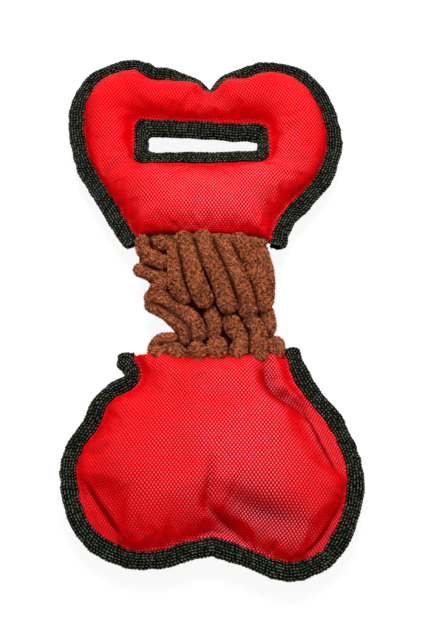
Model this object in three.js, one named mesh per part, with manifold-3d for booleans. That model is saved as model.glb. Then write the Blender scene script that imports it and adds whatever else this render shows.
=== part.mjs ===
// Bone-shaped tug toy: two padded heart-shaped ends joined by an elastic strap in a gathered plush sleeve.
// Millimetres, +Z up. The toy lies on its back on z = 0, with the handle end towards +Y.
import * as THREE from "three";
import { mergeVertices } from "three/addons/utils/BufferGeometryUtils.js";
import Module from "manifold-3d";

const wasm = await Module();
wasm.setup();

// Driving sizes of the toy
const handlePadLength = 150;
const bitePadLength = 146;
const middleLength = 86;
const padHalfWidth = 96;
const seamHeight = 17;

// Cloth, webbing and the gaps between touching pieces
const clothThickness = 1;
const seamGap = 0.3;
const fillGap = 0.4;
const webbingWidth = 25;
const webbingThickness = 1.6;
const webbingFoldRadius = 1.4;
const webbingFoldHalfHeight = 1.2;
const seamRipple = 1.2;

// Fill heights above and below the seam
const biteCrown = 24;
const handleCrown = 19;
const creaseDepth = 7;
const creaseHalfWidth = 9;
const restingCut = 1.8;
const neckOpening = 9;
const neckHem = 3;

// Hand slot in the handle end
const slotLength = 75;
const slotWidth = 12;
const slotCornerRadius = 4;
const slotCentreX = -3.8;
const slotFromNeck = 76;

// Crown of the bite end, a small rounded rectangle where the panels are highest
const crownHalfLength = 26;
const crownHalfWidth = 2;
const crownRadius = 5;
const crownFromNeck = 76;

// Elastic strap and the folded tabs that hold its ends
const strapWidth = 30;
const strapThickness = 3;
const strapTuck = 30;
const tabWidth = 34;
const tabFromNeck = 7.5;

// Plush sleeve round the strap
const sleeveHalfWidth = 48;
const sleeveHeight = 29;
const sleeveDepth = 14;
const sleeveTuck = 6;
const sleeveTuckInset = 4;
const sleeveNeckGap = 1.5;
const sleeveBoreSlack = 2.2;
const ribDepth = 2.2;
const ribLean = 30;

// Squeaker in the bite end
const squeakerRadius = 23;
const squeakerHalfHeight = 10;
const squeakerWall = 1.4;
const reedRadius = 5;
const reedFlangeRadius = 7.5;
const reedFlangeThickness = 1.2;
const reedLength = 7;
const reedBoreRadius = 2;

// Sizes that follow from the ones above
const foldedStack = seamGap + 2 * clothThickness;
const legInner = foldedStack / 2 + seamGap;
const legOuter = legInner + webbingThickness;
const bindingDepth = (webbingWidth - 2 * legInner) / 2;
const panelRimInset = webbingThickness + seamGap;
const panelBase = foldedStack / 2;
const stuffingOffset = clothThickness + fillGap;
const toyLength = handlePadLength + middleLength + bitePadLength;
const handleNeckY = toyLength / 2 - handlePadLength;
const biteNeckY = bitePadLength - toyLength / 2;

// Counts of faces
const sideSteps = 19;
const sleeveRibs = 20;
const pointsPerRib = 3;
const stepsPerTier = 5;
const latheSegments = 24;

const cloth = { color: 0xc9102a, roughness: 0.62, metalness: 0 };
const webbing = { color: 0x1c211d, roughness: 0.8, metalness: 0 };
const plush = { color: 0x4f2416, roughness: 0.95, metalness: 0 };
const fibre = { color: 0xf2f2ee, roughness: 1, metalness: 0 };
const elastic = { color: 0x24262a, roughness: 0.85, metalness: 0 };
const squeakerPlastic = { color: 0xf1f0e8, roughness: 0.4, metalness: 0 };

// The handle end, seen from the front: shares of the half width across and of the pad length from the neck
const handleOutline = {
  length: handlePadLength,
  plusSideShares: [
    [0.565, 0], [0.71, 0.17], [0.916, 0.366], [0.965, 0.55], [0.907, 0.75],
    [0.72, 0.93], [0.516, 0.98], [0.3, 0.96], [0.09, 0.9], [0.007, 0.82],
  ],
  minusSideShares: [
    [-0.604, 0], [-0.755, 0.17], [-0.92, 0.37], [-1, 0.6], [-0.97, 0.8],
    [-0.8, 0.945], [-0.58, 1], [-0.36, 0.965], [-0.12, 0.905], [0.007, 0.82],
  ],
  notchDepth: 3.2,
  bindingOverrun: 4,
};

// The bite end in its own turned frame, so its plus side is the left one seen from the front
const biteOutline = {
  length: bitePadLength,
  plusSideShares: [
    [0.59, 0], [0.65, 0.11], [0.827, 0.297], [0.93, 0.43], [0.95, 0.55], [0.9, 0.72],
    [0.782, 0.844], [0.645, 0.915], [0.44, 0.956], [0.19, 0.94], [-0.027, 0.9],
  ],
  minusSideShares: [
    [-0.604, 0], [-0.707, 0.114], [-0.889, 0.295], [-0.985, 0.44], [-1, 0.58], [-0.95, 0.751],
    [-0.8, 0.93], [-0.6, 1], [-0.42, 1], [-0.2, 0.94], [-0.027, 0.9],
  ],
  notchDepth: bindingDepth,
  bindingOverrun: 6,
};

// Where the neck edge is sampled, as shares of its half width, from the plus corner to the minus corner
const neckShares = [1, 0.85, 0.5, 0, -0.5, -0.85, -1];

// Soft creases in the cloth: two ends as shares, with a share of the deepest crease and of the widest
const biteCreases = [
  { fromShares: [-0.38, 0.08], toShares: [-0.79, 0.51], depthShare: 1, widthShare: 1 },
  { fromShares: [0.79, 0.6], toShares: [0.59, 0.82], depthShare: 0.57, widthShare: 0.89 },
  { fromShares: [0.02, 0.64], toShares: [-0.18, 0.84], depthShare: 0.5, widthShare: 1 },
];
const handleCreases = [
  { fromShares: [0.62, 0.4], toShares: [0.56, 0.62], depthShare: 0.5, widthShare: 0.89 },
  { fromShares: [-0.72, 0.3], toShares: [-0.8, 0.6], depthShare: 0.36, widthShare: 0.89 },
];

// Rows of points between the seam and the crown or slot, as shares of the way
const biteRowShares = [0.12, 0.35, 0.65];
const handleRowShares = [0.14, 0.32, 0.5, 0.68, 0.86];
const handleBackRowShares = [0.14, 0.32, 0.68, 0.86];

// Tiers of the gathered sleeve from the handle end to the bite end, as shares of its height and depth
const sleeveTiers = [
  { endShare: 0.52, frontShare: 1, backShare: 1, valleyShare: 0.6 },
  { endShare: 0.8, frontShare: 0.86, backShare: 0.96, valleyShare: 0.66 },
  { endShare: 1, frontShare: 0.62, backShare: 0.89, valleyShare: 0.7 },
];
const sleevePlusSideShares = [
  [0, 0.8], [0.12, 0.92], [0.35, 0.9], [0.7, 0.88], [0.86, 0.94], [1, 0.86],
];
const sleeveMinusSideShares = [
  [0, 0.84], [0.12, 0.96], [0.3, 0.98], [0.45, 0.82], [0.6, 0.78], [0.74, 0.56],
  [0.82, 0.55], [0.9, 0.76], [1, 0.84],
];
const sleeveSquareness = 0.8;
const overhangShare = 0.25;
const ribReliefShares = [1, -0.35, -0.35];

/** Smooth step from 0 to 1 between two places. */
function smoothStep(from, to, at) {
  const share = THREE.MathUtils.clamp((at - from) / (to - from), 0, 1);
  return share * share * (3 - 2 * share);
}

/** Straight-line reading of a table of [place, value] pairs. */
function readTable(table, place) {
  const last = table.findIndex(([at]) => at >= place);
  if (last === 0) return table[0][1];
  if (last < 0) return table[table.length - 1][1];
  const [fromPlace, fromValue] = table[last - 1];
  const [toPlace, toValue] = table[last];
  return fromValue + ((toValue - fromValue) * (place - fromPlace)) / (toPlace - fromPlace);
}

/** Turns a geometry's faces round if its signed volume is negative. */
function facingOut(geometry) {
  const at = geometry.getAttribute("position");
  const index = geometry.index.array;
  const corners = [new THREE.Vector3(), new THREE.Vector3(), new THREE.Vector3()];
  let volume = 0;
  for (let face = 0; face < index.length; face += 3) {
    corners.forEach((corner, c) => corner.fromBufferAttribute(at, index[face + c]));
    volume += corners[0].dot(corners[1].cross(corners[2]));
  }
  if (volume < 0) {
    for (let face = 0; face < index.length; face += 3) {
      [index[face + 1], index[face + 2]] = [index[face + 2], index[face + 1]];
    }
  }
  return geometry;
}

/**
 * A closed skin over rings that all have the same number of points.
 * With capOutline, a 2-D outline of a ring, both ends are closed flat. Without it the last ring joins the first.
 * Bands that run back the other way are mirrored, so that the layers of cloth and fill fold along the same lines.
 */
function skin(rings, capOutline, isMirrored = () => false) {
  const count = rings[0].length;
  const bands = capOutline ? rings.length - 1 : rings.length;
  const index = [];
  for (let band = 0; band < bands; band++) {
    const near = band * count;
    const far = ((band + 1) % rings.length) * count;
    for (let i = 0; i < count; i++) {
      const next = (i + 1) % count;
      const [a, b, c, d] = [near + i, near + next, far + next, far + i];
      if (isMirrored(band)) index.push(a, b, d, b, c, d);
      else index.push(a, b, c, a, c, d);
    }
  }
  if (capOutline) {
    const last = (rings.length - 1) * count;
    THREE.ShapeUtils.triangulateShape(capOutline, []).forEach(([a, b, c]) => {
      const turned = THREE.ShapeUtils.isClockWise(capOutline);
      const face = turned ? [a, b, c] : [a, c, b];
      index.push(...face);
      index.push(...[face[0], face[2], face[1]].map((corner) => corner + last));
    });
  }
  const geometry = new THREE.BufferGeometry().setFromPoints(rings.flat());
  geometry.setIndex(index);
  return facingOut(geometry);
}

/** A manifold solid from a closed geometry. */
function toSolid(geometry) {
  const bare = geometry.clone();
  Object.keys(bare.attributes)
    .filter((name) => name !== "position")
    .forEach((name) => bare.deleteAttribute(name));
  const merged = mergeVertices(bare);
  return new wasm.Manifold(
    new wasm.Mesh({
      numProp: 3,
      vertProperties: merged.getAttribute("position").array,
      triVerts: new Uint32Array(merged.index.array),
    }),
  );
}

/** A geometry from a manifold solid. */
function fromSolid(solid) {
  const mesh = solid.getMesh();
  const geometry = new THREE.BufferGeometry();
  geometry.setAttribute("position", new THREE.BufferAttribute(mesh.vertProperties, mesh.numProp));
  geometry.setIndex(new THREE.BufferAttribute(mesh.triVerts, 1));
  return geometry;
}

/** Cuts each tool out of a body. */
function cut(body, tools) {
  return fromSolid(tools.reduce((rest, tool) => rest.subtract(toSolid(tool)), toSolid(body)));
}

/** A named mesh with its finish. */
function piece(name, geometry, finish) {
  geometry.computeVertexNormals();
  const mesh = new THREE.Mesh(geometry, new THREE.MeshStandardMaterial(finish));
  mesh.name = name;
  return mesh;
}

/** Stations along one side of a pad, from its neck corner to the notch between its lobes. */
function sideStations(outline, shares) {
  const points = shares.map(
    ([across, along]) => new THREE.Vector3(across * padHalfWidth, along * outline.length, 0),
  );
  const curve = new THREE.CatmullRomCurve3(points, false, "centripetal");
  const stations = [];
  for (let step = 0; step <= sideSteps; step++) {
    const share = step / sideSteps;
    const at = curve.getPointAt(share);
    const along = curve.getTangentAt(share);
    stations.push({
      edge: new THREE.Vector2(at.x, at.y),
      along: new THREE.Vector2(along.x, along.y).normalize(),
      depth: THREE.MathUtils.lerp(outline.notchDepth, bindingDepth, smoothStep(1, 0.86, share)),
      lift: seamRipple * Math.sin(5 * Math.PI * share) * Math.sin(Math.PI * share),
      base: panelBase,
      rimInset: panelRimInset,
      flange: 0,
    });
  }
  return stations;
}

/** All stations round a pad: up its plus side, down its minus side and back along the open neck. */
function padStations(outline) {
  const plus = sideStations(outline, outline.plusSideShares);
  const minus = sideStations(outline, outline.minusSideShares).reverse().slice(1);
  minus.forEach((station) => station.along.negate());
  const bound = [...plus, ...minus];
  bound.forEach((station) => {
    station.inward = new THREE.Vector2(-station.along.y, station.along.x);
    station.flange = station.depth + seamGap;
  });
  bound[sideSteps].inward.set(0, -1);
  const corners = [bound[0], bound[bound.length - 1]].map((station, side) => {
    const run = side ? outline.bindingOverrun : -outline.bindingOverrun;
    const end = station.edge.clone().addScaledVector(station.along, run);
    return end.addScaledVector(station.inward, bindingDepth);
  });
  const neckMiddle = (corners[0].x + corners[1].x) / 2;
  const neckHalf = (corners[0].x - corners[1].x) / 2 - seamGap;
  const neck = neckShares.map((share) => ({
    edge: new THREE.Vector2(neckMiddle + share * neckHalf, 0),
    inward: new THREE.Vector2(0, 1),
    base: panelBase + neckOpening * Math.sqrt(1 - share * share),
    rimInset: 0,
    flange: neckHem,
    lift: 0,
  }));
  return { bound, all: [...bound, ...neck.reverse()], neckMiddle, neckHalf };
}

/** The point a distance inside a station's edge. */
function inset(station, distance) {
  return station.edge.clone().addScaledVector(station.inward, distance);
}

/** A point on a rounded rectangle, found from the station that faces it. */
function hubPoint(hub, station, outwards) {
  const seen = inset(station, station.flange).sub(hub.centre);
  const core = new THREE.Vector2(
    THREE.MathUtils.clamp(seen.x, -hub.coreHalfX, hub.coreHalfX),
    THREE.MathUtils.clamp(seen.y, -hub.coreHalfY, hub.coreHalfY),
  );
  const away = seen.sub(core).normalize();
  return core.add(hub.centre).addScaledVector(away, hub.radius + outwards);
}

/** How far the creases press the cloth in at a place on a pad. */
function creased(pad, at) {
  return pad.creases.reduce((sum, crease) => {
    const [from, to] = [crease.fromShares, crease.toShares].map(
      ([across, along]) =>
        new THREE.Vector3(across * padHalfWidth, along * pad.outline.length, 0),
    );
    const nearest = new THREE.Line3(from, to).closestPointToPoint(
      new THREE.Vector3(at.x, at.y, 0), true, new THREE.Vector3(),
    );
    const halfWidth = creaseHalfWidth * crease.widthShare;
    const away = nearest.distanceTo(new THREE.Vector3(at.x, at.y, 0)) / halfWidth;
    return sum + creaseDepth * crease.depthShare * Math.exp(-away * away);
  }, 0);
}

/** A point of a padded panel, some share of the way in, set back from its outside by an offset. */
function panelPoint(pad, front, station, share, offset) {
  const outer = inset(station, station.flange).lerp(hubPoint(pad.hub, station, pad.hub.rim), share);
  const span = inset(station, station.flange).distanceTo(hubPoint(pad.hub, station, pad.hub.rim));
  const swell = pad.swell(share);
  let height = pad.height(station, share, span);
  if (front) height -= creased(pad, outer) * swell;
  const lift = station.lift * (1 - share);
  if (!front) height = Math.min(height, seamHeight + lift);
  const from = inset(station, station.flange + offset);
  const to = hubPoint(pad.hub, station, pad.hub.rim + (pad.hub.open ? offset : 0));
  const at = from.lerp(to, share);
  return new THREE.Vector3(at.x, at.y, lift + (front ? height - offset : offset - height));
}

/** The outer, or with an offset the inner, rows of a panel from its seam to the crown or the slot. */
function panelRows(pad, front, rowShares, offset) {
  const side = front ? 1 : -1;
  const flat = (station, at, height) => new THREE.Vector3(
    at.x, at.y, (station.lift ?? 0) + side * (height - offset),
  );
  const rim = pad.stations.all.map((s) => flat(s, inset(s, s.rimInset), s.base));
  const seam = pad.stations.all.map((s) => flat(s, inset(s, s.flange + offset), s.base));
  const rows = rowShares.map((share) =>
    pad.stations.all.map((s) => panelPoint(pad, front, s, share, offset)),
  );
  if (!pad.hub.open) {
    return [rim, seam, ...rows, pad.stations.all.map((s) => panelPoint(pad, front, s, 1, offset))];
  }
  const slotFlange = pad.stations.all.map((s) => {
    const at = hubPoint(pad.hub, s, pad.hub.rim + offset);
    return new THREE.Vector3(at.x, at.y, side * (panelBase - offset));
  });
  const slotRim = pad.stations.all.map((s) => {
    const at = hubPoint(pad.hub, s, panelRimInset);
    return new THREE.Vector3(at.x, at.y, side * (panelBase - offset));
  });
  return [rim, seam, ...rows, slotFlange, slotRim];
}

/** The plan of a ring, which closes a crown. */
function planOf(ring) {
  return ring.map((point) => new THREE.Vector2(point.x, point.y));
}

/** One cloth panel of a pad. */
function panel(pad, front, rowShares) {
  const outside = panelRows(pad, front, rowShares, 0);
  const inside = panelRows(pad, front, rowShares, clothThickness);
  const rings = [...outside.reverse(), ...inside];
  const cap = pad.hub.open ? undefined : planOf(rings[0]);
  return skin(rings, cap, (band) => band < outside.length - 1);
}

/** The U-shaped section of folded webbing, as [distance from the fold, height] pairs. */
function webbingSection(depth) {
  return [
    [depth, legOuter],
    [webbingFoldRadius, legOuter],
    [0, webbingFoldHalfHeight],
    [0, -webbingFoldHalfHeight],
    [webbingFoldRadius, -legOuter],
    [depth, -legOuter],
    [depth, -legInner],
    [webbingThickness, -legInner],
    [webbingThickness, legInner],
    [depth, legInner],
  ];
}

/** The webbing folded over a pad's edge from one neck corner to the other. */
function edgeBinding(pad) {
  const { bound } = pad.stations;
  const [first, last] = [bound[0], bound[bound.length - 1]];
  const run = pad.outline.bindingOverrun;
  const start = { ...first, edge: first.edge.clone().addScaledVector(first.along, -run) };
  const end = { ...last, edge: last.edge.clone().addScaledVector(last.along, run) };
  const rings = [start, ...bound, end].map((station) =>
    webbingSection(station.depth).map(([distance, height]) => {
      const at = inset(station, distance);
      return new THREE.Vector3(at.x, at.y, station.lift + height);
    }),
  );
  return skin(rings, webbingSection(bindingDepth).map(([x, y]) => new THREE.Vector2(x, y)));
}

/** The webbing folded over the edge of the hand slot. */
function slotBinding(pad) {
  const rings = pad.stations.all.map((station) =>
    webbingSection(bindingDepth).map(([distance, height]) => {
      const at = hubPoint(pad.hub, station, distance);
      return new THREE.Vector3(at.x, at.y, height);
    }),
  );
  return skin(rings);
}

/** A folded tab of cloth round the end of the elastic strap, open towards the neck. */
function strapTab() {
  const halfGap = strapThickness / 2 + seamGap;
  const halfHeight = halfGap + clothThickness;
  const mouth = tabFromNeck;
  const foldInside = strapTuck + seamGap;
  const foldOutside = foldInside + clothThickness;
  const fold = new THREE.Shape();
  fold.moveTo(mouth, -halfHeight);
  fold.lineTo(foldOutside, -halfHeight);
  fold.lineTo(foldOutside, halfHeight);
  fold.lineTo(mouth, halfHeight);
  fold.lineTo(mouth, halfGap);
  fold.lineTo(foldInside, halfGap);
  fold.lineTo(foldInside, -halfGap);
  fold.lineTo(mouth, -halfGap);
  const tab = new THREE.ExtrudeGeometry(fold, { depth: tabWidth, bevelEnabled: false });
  tab.rotateZ(Math.PI / 2).rotateY(Math.PI / 2);
  return tab.translate(-tabWidth / 2, 0, 0);
}

/** The room that a strap tab takes in the fill, from the neck inwards. */
function tabPocket() {
  const length = strapTuck + 2 * seamGap + clothThickness;
  const height = strapThickness + 4 * seamGap + 2 * clothThickness;
  const pocket = new THREE.BoxGeometry(tabWidth + 2 * seamGap, length, height);
  return pocket.translate(0, length / 2, 0);
}

/** Half of a bite end's fill, on one side of the seam. */
function fillHalf(pad, front, rowShares) {
  const side = front ? 1 : -1;
  const outside = [...rowShares, 1].map((share) =>
    pad.stations.all.map((s) => panelPoint(pad, front, s, share, stuffingOffset)),
  );
  const parting = outside[0].map((point) => new THREE.Vector3(point.x, point.y, side * seamGap / 2));
  return skin([parting, ...outside], planOf(parting));
}

/** The fill of the handle end, one ring round the slot. */
function fillRing(pad, frontRowShares, backRowShares) {
  const top = frontRowShares.map((share) =>
    pad.stations.all.map((s) => panelPoint(pad, true, s, share, stuffingOffset)),
  );
  const bottom = backRowShares.map((share) =>
    pad.stations.all.map((s) => panelPoint(pad, false, s, share, stuffingOffset)),
  );
  return skin([...top, ...bottom.reverse()], undefined, (band) => band >= top.length);
}

/** A solid of revolution that stands on the Z axis. */
function turned(profile) {
  const points = profile.map(([radius, height]) => new THREE.Vector2(radius, height));
  return new THREE.LatheGeometry([...points, points[0]], latheSegments).rotateX(Math.PI / 2);
}

/** The squeaker's soft bulb, a hollow pill with a round mouth on top, grown by a clearance. */
function squeakerProfile(grow) {
  const radius = squeakerRadius + grow;
  const half = squeakerHalfHeight + grow;
  const arc = [];
  for (let step = 0; step <= 8; step++) {
    const angle = -Math.PI / 2 + (Math.PI * step) / 8;
    arc.push([radius - half + half * Math.cos(angle), half * Math.sin(angle)]);
  }
  return arc;
}

/** The squeaker's soft bulb. */
function squeakerBulb() {
  const mouth = reedRadius + seamGap;
  const outside = squeakerProfile(0);
  const inside = squeakerProfile(-squeakerWall).reverse();
  return turned([
    [0, -squeakerHalfHeight],
    ...outside,
    [mouth, squeakerHalfHeight],
    [mouth, squeakerHalfHeight - squeakerWall],
    ...inside,
    [0, squeakerWall - squeakerHalfHeight],
  ]);
}

/** The flanged reed tube that sits in the bulb's mouth. */
function squeakerReed() {
  const seat = squeakerHalfHeight + seamGap;
  return turned([
    [reedBoreRadius, seat + reedFlangeThickness],
    [reedBoreRadius, seat - reedLength],
    [reedRadius, seat - reedLength],
    [reedRadius, seat],
    [reedFlangeRadius, seat],
    [reedFlangeRadius, seat + reedFlangeThickness],
  ]);
}

/** The room that the squeaker takes in the fill. */
function squeakerPocket() {
  const top = squeakerHalfHeight + reedFlangeThickness + 2 * seamGap;
  const bulb = turned([[0, -squeakerHalfHeight - seamGap], ...squeakerProfile(seamGap),
    [0, squeakerHalfHeight + seamGap]]);
  const flange = turned([[0, 0], [reedFlangeRadius + seamGap, 0], [reedFlangeRadius + seamGap, top],
    [0, top]]);
  return fromSolid(toSolid(bulb).add(toSolid(flange)));
}

/** Where one tier of the sleeve starts. */
function tierStart(tier) {
  return tier ? sleeveTiers[tier - 1].endShare : 0;
}

/** One ring of the sleeve: half sizes, how far along it lies and how strongly its ribs stand out. */
function sleeveRing({ along, plus, minus, front, back, relief, squareness = 1 }) {
  const count = sleeveRibs * pointsPerRib;
  const middle = (plus - minus) / 2;
  const half = (plus + minus) / 2;
  const peak = sleeveTiers[0].endShare * middleLength;
  const lean = along < peak
    ? smoothStep(0, peak, along)
    : smoothStep(middleLength, peak, along);
  const shift = (ribLean / sleeveHalfWidth) * lean;
  return Array.from({ length: count }, (_, i) => {
    const angle = (2 * Math.PI * i) / count - shift;
    const [c, s] = [Math.cos(angle), Math.sin(angle)];
    const rib = relief * ribDepth * ribReliefShares[i % pointsPerRib];
    const rise = s > 0 ? front : back;
    return new THREE.Vector3(
      middle + (half + rib) * Math.sign(c) * Math.abs(c) ** squareness,
      -along,
      (rise + rib) * Math.sign(s) * Math.abs(s) ** squareness,
    );
  });
}

/** The gathered plush sleeve, three bulging tiers of ribs round a flat bore for the strap. */
function plushSleeve(handleNeck, biteNeck) {
  const tuckHeight = neckOpening - seamGap;
  const tuck = (neck, turnedRound, along) => {
    const middle = turnedRound ? -neck.neckMiddle : neck.neckMiddle;
    const half = neck.neckHalf - sleeveTuckInset;
    return sleeveRing({
      along, plus: half + middle, minus: half - middle, front: tuckHeight, back: tuckHeight, relief: 0,
    });
  };
  const bore = (along) => sleeveRing({
    along,
    plus: strapWidth / 2 + sleeveBoreSlack,
    minus: strapWidth / 2 + sleeveBoreSlack,
    front: strapThickness / 2 + sleeveBoreSlack,
    back: strapThickness / 2 + sleeveBoreSlack,
    relief: 0,
  });
  const folds = [];
  sleeveTiers.forEach((tier, k) => {
    const from = tierStart(k) * middleLength + (k ? 0 : sleeveNeckGap);
    const to = tier.endShare * middleLength - (k === sleeveTiers.length - 1 ? sleeveNeckGap : 0);
    for (let step = 1; step <= stepsPerTier; step++) {
      const isNeck = step === stepsPerTier && k === sleeveTiers.length - 1;
      if (isNeck) continue;
      const angle = (Math.PI * step) / stepsPerTier;
      const swing = Math.cos(angle) + overhangShare * Math.sin(2 * angle);
      const along = (from + to) / 2 - ((to - from) / 2) * swing;
      const swell = Math.sin(angle) ** 0.7;
      const fullness = tier.valleyShare + (1 - tier.valleyShare) * swell;
      folds.push(sleeveRing({
        along,
        plus: sleeveHalfWidth * readTable(sleevePlusSideShares, along / middleLength),
        minus: sleeveHalfWidth * readTable(sleeveMinusSideShares, along / middleLength),
        front: sleeveHeight * tier.frontShare * fullness,
        back: sleeveDepth * tier.backShare * fullness,
        relief: 0.4 + 0.6 * swell,
        squareness: sleeveSquareness,
      }));
    }
  });
  return skin([
    tuck(handleNeck, false, -sleeveTuck),
    tuck(handleNeck, false, sleeveNeckGap),
    ...folds,
    tuck(biteNeck, true, middleLength - sleeveNeckGap),
    tuck(biteNeck, true, middleLength + sleeveTuck),
    bore(middleLength + sleeveTuck),
    bore(-sleeveTuck),
  ]);
}

// Handle end, its own frame at the middle of the neck in the seam plane
const handle = {
  outline: handleOutline,
  stations: padStations(handleOutline),
  creases: handleCreases,
  hub: {
    centre: new THREE.Vector2(slotCentreX, slotFromNeck),
    coreHalfX: slotLength / 2 - slotCornerRadius,
    coreHalfY: slotWidth / 2 - slotCornerRadius,
    radius: slotCornerRadius,
    rim: bindingDepth + seamGap,
    open: true,
  },
  swell: (share) => Math.sin(Math.PI * share) ** 0.6,
  height(station, share, span) {
    const rise = Math.min(handleCrown, 0.45 * span) - (station.base - panelBase) / 2;
    return THREE.MathUtils.lerp(station.base, panelBase, share) + rise * this.swell(share);
  },
};

// Bite end, the same way but turned half round
const bite = {
  outline: biteOutline,
  stations: padStations(biteOutline),
  creases: biteCreases,
  hub: {
    centre: new THREE.Vector2(0, crownFromNeck),
    coreHalfX: crownHalfLength,
    coreHalfY: crownHalfWidth,
    radius: crownRadius,
    rim: 0,
    open: false,
  },
  swell: (share) => Math.sqrt(1 - (1 - share) ** 2),
  height(station, share) {
    return station.base + (biteCrown - station.base) * this.swell(share);
  },
};
const biteBack = {
  ...bite,
  height(station, share) {
    return station.base + (seamHeight + restingCut - station.base) * this.swell(share);
  },
};

const handleEnd = new THREE.Group();
handleEnd.position.set(0, handleNeckY, seamHeight);
handleEnd.add(
  piece("handle_front_panel", panel(handle, true, handleRowShares), cloth),
  piece("handle_back_panel", panel(handle, false, handleBackRowShares), cloth),
  piece("handle_stuffing", cut(fillRing(handle, handleRowShares, handleBackRowShares), [tabPocket()]), fibre),
  piece("handle_edge_binding", edgeBinding(handle), webbing),
  piece("handle_slot_binding", slotBinding(handle), webbing),
  piece("handle_strap_anchor", strapTab(), webbing),
);

const squeaker = new THREE.Group();
squeaker.position.set(0, crownFromNeck, 0);
squeaker.add(
  piece("squeaker_bulb", squeakerBulb(), squeakerPlastic),
  piece("squeaker_reed", squeakerReed(), squeakerPlastic),
);

const pockets = [tabPocket(), squeakerPocket().translate(0, crownFromNeck, 0)];
const biteEnd = new THREE.Group();
biteEnd.position.set(0, biteNeckY, seamHeight);
biteEnd.rotation.z = Math.PI;
biteEnd.add(
  piece("bite_front_panel", panel(bite, true, biteRowShares), cloth),
  piece("bite_back_panel", panel(biteBack, false, biteRowShares), cloth),
  piece("bite_stuffing_front", cut(fillHalf(bite, true, biteRowShares), pockets), fibre),
  piece("bite_stuffing_back", cut(fillHalf(biteBack, false, biteRowShares), pockets), fibre),
  piece("bite_edge_binding", edgeBinding(bite), webbing),
  piece("bite_strap_anchor", strapTab(), webbing),
  squeaker,
);

const strapLength = middleLength + 2 * strapTuck;
const strap = new THREE.BoxGeometry(strapWidth, strapLength, strapThickness);
strap.translate(0, -middleLength / 2, 0);
const middle = new THREE.Group();
middle.position.set(0, handleNeckY, seamHeight);
middle.add(
  piece("plush_sleeve", plushSleeve(handle.stations, bite.stations), plush),
  piece("elastic_strap", strap, elastic),
);

// The origin is at the middle of the toy's footprint, on the floor
const toy = new THREE.Group();
toy.name = "tug_toy";
toy.add(biteEnd, middle, handleEnd);
toy.updateMatrixWorld(true);
const reach = new THREE.Box3().setFromObject(toy, true);
const footprint = reach.getCenter(new THREE.Vector3());
toy.position.set(-footprint.x, -footprint.y, -reach.min.z);

export default toy;
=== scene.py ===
"""Looks of a bone-shaped tug toy: padded nylon ends, folded webbing edges and a gathered plush middle.

Lengths in this file are millimetres. Meshes are written in metres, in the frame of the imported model.
Each padded end is drawn in its own frame: x across, y from its neck to its far edge, z up from the seam.
"""

import logging
import math
from collections.abc import Iterator
from contextlib import contextmanager
from dataclasses import dataclass, field
from enum import Enum
from functools import cache

import bmesh
import bpy
import numpy as np
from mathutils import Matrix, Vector, noise
from mathutils.bvhtree import BVHTree
from mathutils.geometry import delaunay_2d_cdt


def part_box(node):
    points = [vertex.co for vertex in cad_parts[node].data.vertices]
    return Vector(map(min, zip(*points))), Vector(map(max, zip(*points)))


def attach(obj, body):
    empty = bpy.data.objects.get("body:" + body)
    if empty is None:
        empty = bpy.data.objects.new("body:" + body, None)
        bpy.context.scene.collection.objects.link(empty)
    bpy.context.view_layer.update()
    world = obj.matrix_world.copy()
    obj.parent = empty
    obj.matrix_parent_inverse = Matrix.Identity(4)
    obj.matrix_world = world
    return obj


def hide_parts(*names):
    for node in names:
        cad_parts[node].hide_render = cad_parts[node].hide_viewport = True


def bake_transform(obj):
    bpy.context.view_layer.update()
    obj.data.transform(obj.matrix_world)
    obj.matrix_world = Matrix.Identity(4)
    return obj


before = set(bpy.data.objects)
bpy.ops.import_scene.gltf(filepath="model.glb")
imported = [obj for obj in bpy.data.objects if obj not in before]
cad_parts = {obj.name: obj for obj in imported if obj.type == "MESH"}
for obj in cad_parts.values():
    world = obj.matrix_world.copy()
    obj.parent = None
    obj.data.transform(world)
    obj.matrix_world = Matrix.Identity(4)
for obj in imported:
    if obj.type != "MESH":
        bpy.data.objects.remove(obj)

LOG = logging.getLogger("tug_toy")
MM = 0.001

Piece = bpy.types.Object
Material = bpy.types.Material
Node = bpy.types.Node
Socket = bpy.types.NodeSocket
Tree = bpy.types.NodeTree


class Side(Enum):
    """The two faces of a padded end, with the sign of their height above the seam."""

    FRONT = 1
    BACK = -1


# Sizes shared by several pieces, as in the part's source
PAD_HALF_WIDTH = 96.0
CLOTH_THICKNESS = 1.0
SEAM_GAP = 0.3
WEBBING_WIDTH = 25.0
WEBBING_THICKNESS = 1.6
SEAM_RIPPLE = 1.2
MIDDLE_LENGTH = 86.0
SLEEVE_HALF_WIDTH = 48.0
SLEEVE_HEIGHT = 29.0
STACK_HALF = CLOTH_THICKNESS + SEAM_GAP / 2
LEG_INNER = STACK_HALF + SEAM_GAP
LEG_OUTER = LEG_INNER + WEBBING_THICKNESS
BINDING_DEPTH = (WEBBING_WIDTH - 2 * LEG_INNER) / 2
FLANGE = BINDING_DEPTH + SEAM_GAP


def middle_of(node: str) -> Vector:
    """The middle of a node's box, in metres."""
    low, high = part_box(node)
    return (low + high) / 2


SEAM_Z = middle_of("elastic_strap").z
CENTRE_X = middle_of("elastic_strap").x
HANDLE_NECK_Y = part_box("handle_front_panel")[0].y
BITE_NECK_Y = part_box("bite_front_panel")[1].y

# The middle is made in three lengths, each between two bodies, which meet at these places along y
LENGTHS = (("bend", "bite_end", "sleeve"), ("twist", "sleeve", "strap"), ("stretch", "strap", "handle_end"))
MEETINGS = (BITE_NECK_Y, -20.0 * MM, -6.0 * MM, HANDLE_NECK_Y)

# Past both ends of the toy, in metres
FAR_AWAY = 1.0


def smooth_step(start: float, end: float, at: np.ndarray) -> np.ndarray:
    """Rises smoothly from 0 at start to 1 at end."""
    share = np.clip((at - start) / (end - start), 0.0, 1.0)
    return share * share * (3 - 2 * share)


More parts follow.
